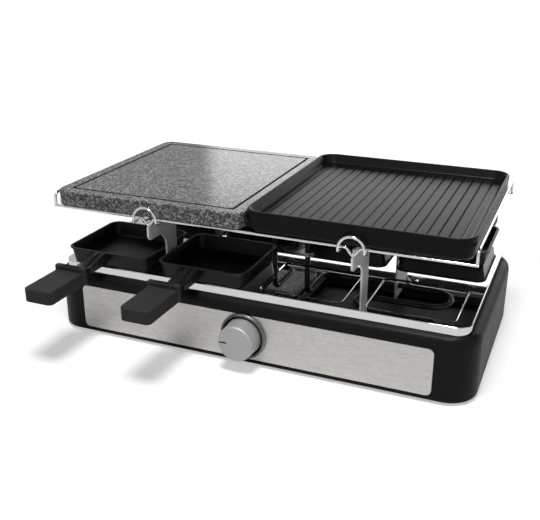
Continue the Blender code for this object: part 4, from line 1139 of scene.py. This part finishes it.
# %% Six pans and their grips
for node in sorted(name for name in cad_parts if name.startswith("pan_")):
    low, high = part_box(node)
    front_row = "front" in node
    y = high.y - PAN_HALF[1] if front_row else low.y + PAN_HALF[1]
    turn = Matrix.Rotation(0 if front_row else math.pi, 4, "Z")
    place = Matrix.Translation(((low.x + high.x) / 2, y, 0)) @ turn
    for form, slot in ((pan, "pan"), (grip, "grip")):
        mesh = form.data.copy()
        mesh.transform(place)
        cad = node.replace("pan", slot)
        finished(linked(cad + "_form", mesh), node + "_body", slot, cad)
for form in (pan, grip):
    bpy.data.objects.remove(form)

# %% [markdown]
# ## Knob and ring
# Both are turned shapes. A Screw modifier could spin them, but the loft above does it too: each
# point of a short profile becomes a ring round the shaft. The knob's rim is eased, and its pointer
# is a small bar let into the face. The ring behind it slopes down towards the knob and outwards,
# with a fine groove along its crest.


# %% Knob
def spun(section):
    """Rings of a (radius, forward) section round the knob's axis."""
    rings = []
    for radius, forward in section:
        circle = circle_points(0, KNOB_HEIGHT, radius, front - forward, 96)
        rings.append([(x, y, z) for x, z, y in circle])
    return rings


KNOB_BACK, KNOB_FACE, COLLAR, SOCKET = 0.001, 0.023, 0.0182, 0.012
knob_section = [(0.008, SOCKET, 0), (COLLAR, SOCKET, 0.0006), (COLLAR, KNOB_BACK, 0)]
knob_section += [(0.0204, KNOB_BACK, 0.0003), (0.0198, KNOB_FACE, 0.0022), (0.004, KNOB_FACE, 0)]
knob = lofted("knob_cap", spun(profile(knob_section, 8)))
pointer_low, pointer_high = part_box("knob_pointer")
bm = bmesh.new()
size = pointer_high - pointer_low + Vector((0.0004, 0.002, 0.0004))
block(bm, (pointer_low + pointer_high) / 2, size)
cut_with(knob, shaped("pointer_cut", bm))
finished(knob, "knob", "knob", "knob")

ring_section = [(0.0208, 0.0003, 0), (0.0208, 0.0012, 0.0002), (0.0229, 0.0032, 0.0003)]
ring_section += [(0.0234, 0.0036, 0.0002), (0.0242, 0.0029, 0.0002), (0.0247, 0.0037, 0.0003)]
ring_section += [(0.026, 0.0024, 0.0004), (0.026, 0.0003, 0)]
collar = lofted("knob_collar", spun(profile(ring_section)), closed=True)
finished(collar, "base", "knob_ring", "knob_ring")

# %% [markdown]
# ## Camera, light and ground
# The camera stands at the photograph's viewpoint: about a metre away, turned 23 degrees to the
# left and looking 22 degrees down. Two soft lamps light the top and the side, and a pale panel
# stands low behind. The floor and the world are white for the camera. What metal mirrors is a
# studio with a grey strip low behind and pale walls in front and on the left.

# %% Camera
scene = bpy.context.scene
pitch, yaw, roll = math.radians(21.87), math.radians(22.68), math.radians(0.07)
right = Vector((math.cos(yaw), math.sin(yaw), 0))
ahead = Vector((-right.y, right.x, 0)) * math.cos(pitch) - Vector((0, 0, math.sin(pitch)))
up = right.cross(ahead)
turn = Matrix((right, up, -ahead)).transposed().to_4x4()
turn.translation = (0.31783, -0.82478, 0.42554)
camera = linked("camera", bpy.data.cameras.new("camera"))
camera.data.lens = 53.1
camera.data.sensor_width = 36
camera.matrix_world = turn @ Matrix.Rotation(roll, 4, "Z")
scene.camera = camera
print("camera at", [round(v, 3) for v in turn.translation])


# %% Lamps
def lamp(name, place, target, width, height, power):
    """A soft rectangular lamp that the camera doesn't see."""
    light = bpy.data.lights.new(name, "AREA")
    light.shape = "RECTANGLE"
    light.size = width
    light.size_y = height
    light.energy = power
    obj = linked(name, light)
    obj.location = place
    aim = Vector(target) - Vector(place)
    obj.rotation_euler = aim.to_track_quat("-Z", "Y").to_euler()
    obj.visible_camera = False
    print(name, "of", power, "W")


lamp("top_lamp", (0.15, -0.65, 2.0), (0, 0, 0.1), 0.5, 0.5, 35)
lamp("side_lamp", (2.2, -0.2, 1.1), (0, 0, 0.1), 1.2, 1.2, 2)
lamp("back_panel", (-0.065, 2.4, 0.555), (-0.065, 0, 0.555), 2.53, 1.11, 13.5)

# %% Floor and world
ground = Finish("ground", grey(0.62), 0.9)
seen = ground.add("ShaderNodeLightPath", output="Is Camera Ray")
glint = ground.add("ShaderNodeLightPath", output="Is Glossy Ray")
spot = ground.add("ShaderNodeTexCoord", output="Object")
distance = ground.add("ShaderNodeVectorMath", {"operation": "LENGTH"}, {0: spot}, "Value")
ground.feed("Base Color", ground.mix(ground.noise(3), grey(0.61), grey(0.63)))
shown = seen * (distance.above(0.9, 0.6) * 0.6 + 0.45) + glint * 0.1
ground.feed("Emission Color", shown)
ground.feed("Emission Strength", 1.0)
bm = bmesh.new()
bmesh.ops.create_circle(bm, cap_ends=True, segments=64, radius=6)
floor_disc = shaped("floor", bm)
floor_disc.data.materials.append(ground.material)
floor_disc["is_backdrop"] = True

world = bpy.data.worlds.new("studio")
scene.world = world
world.use_nodes = True
sky = Graph(world.node_tree)
path = sky.add("ShaderNodeLightPath", output="Is Camera Ray")
mirror = sky.add("ShaderNodeLightPath", output="Is Glossy Ray")
direction = sky.add("ShaderNodeTexCoord", output="Generated")
across = sky.add("ShaderNodeSeparateXYZ", None, {0: direction})
back, height = (Value(sky, across.socket.node.outputs[i]) for i in (1, 2))
low_wall = (back * 0.42 - height).above(0.015, 0.008)
front_wall = 1 - back.above(0.0, 0.15)
left_wall = 1 - (across + back * 0.51).above(-0.03, 0.06)
high_wall = front_wall.math("MAXIMUM", front_wall * 0.55, left_wall * 0.5 + 0.008)
seen_in_metal = low_wall * 0.5 + (1 - low_wall) * high_wall
strength = path + (1 - path) * (mirror * seen_in_metal + (1 - mirror) * 0.17)
background = world.node_tree.nodes["Background"]
background.inputs["Color"].default_value = (1, 1, 1, 1)
world.node_tree.links.new(strength.socket, background.inputs["Strength"])
scene.view_settings.view_transform = "Standard"

# %% Sizes and finish
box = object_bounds()
sizes = {"cad": [list(corner) for corner in cad_box], "visual": [list(corner) for corner in box]}
for name, (low, high) in (("CAD box", cad_box), ("visual box", box)):
    print(name, [round(v * 1000, 1) for v in (*low, *high)])
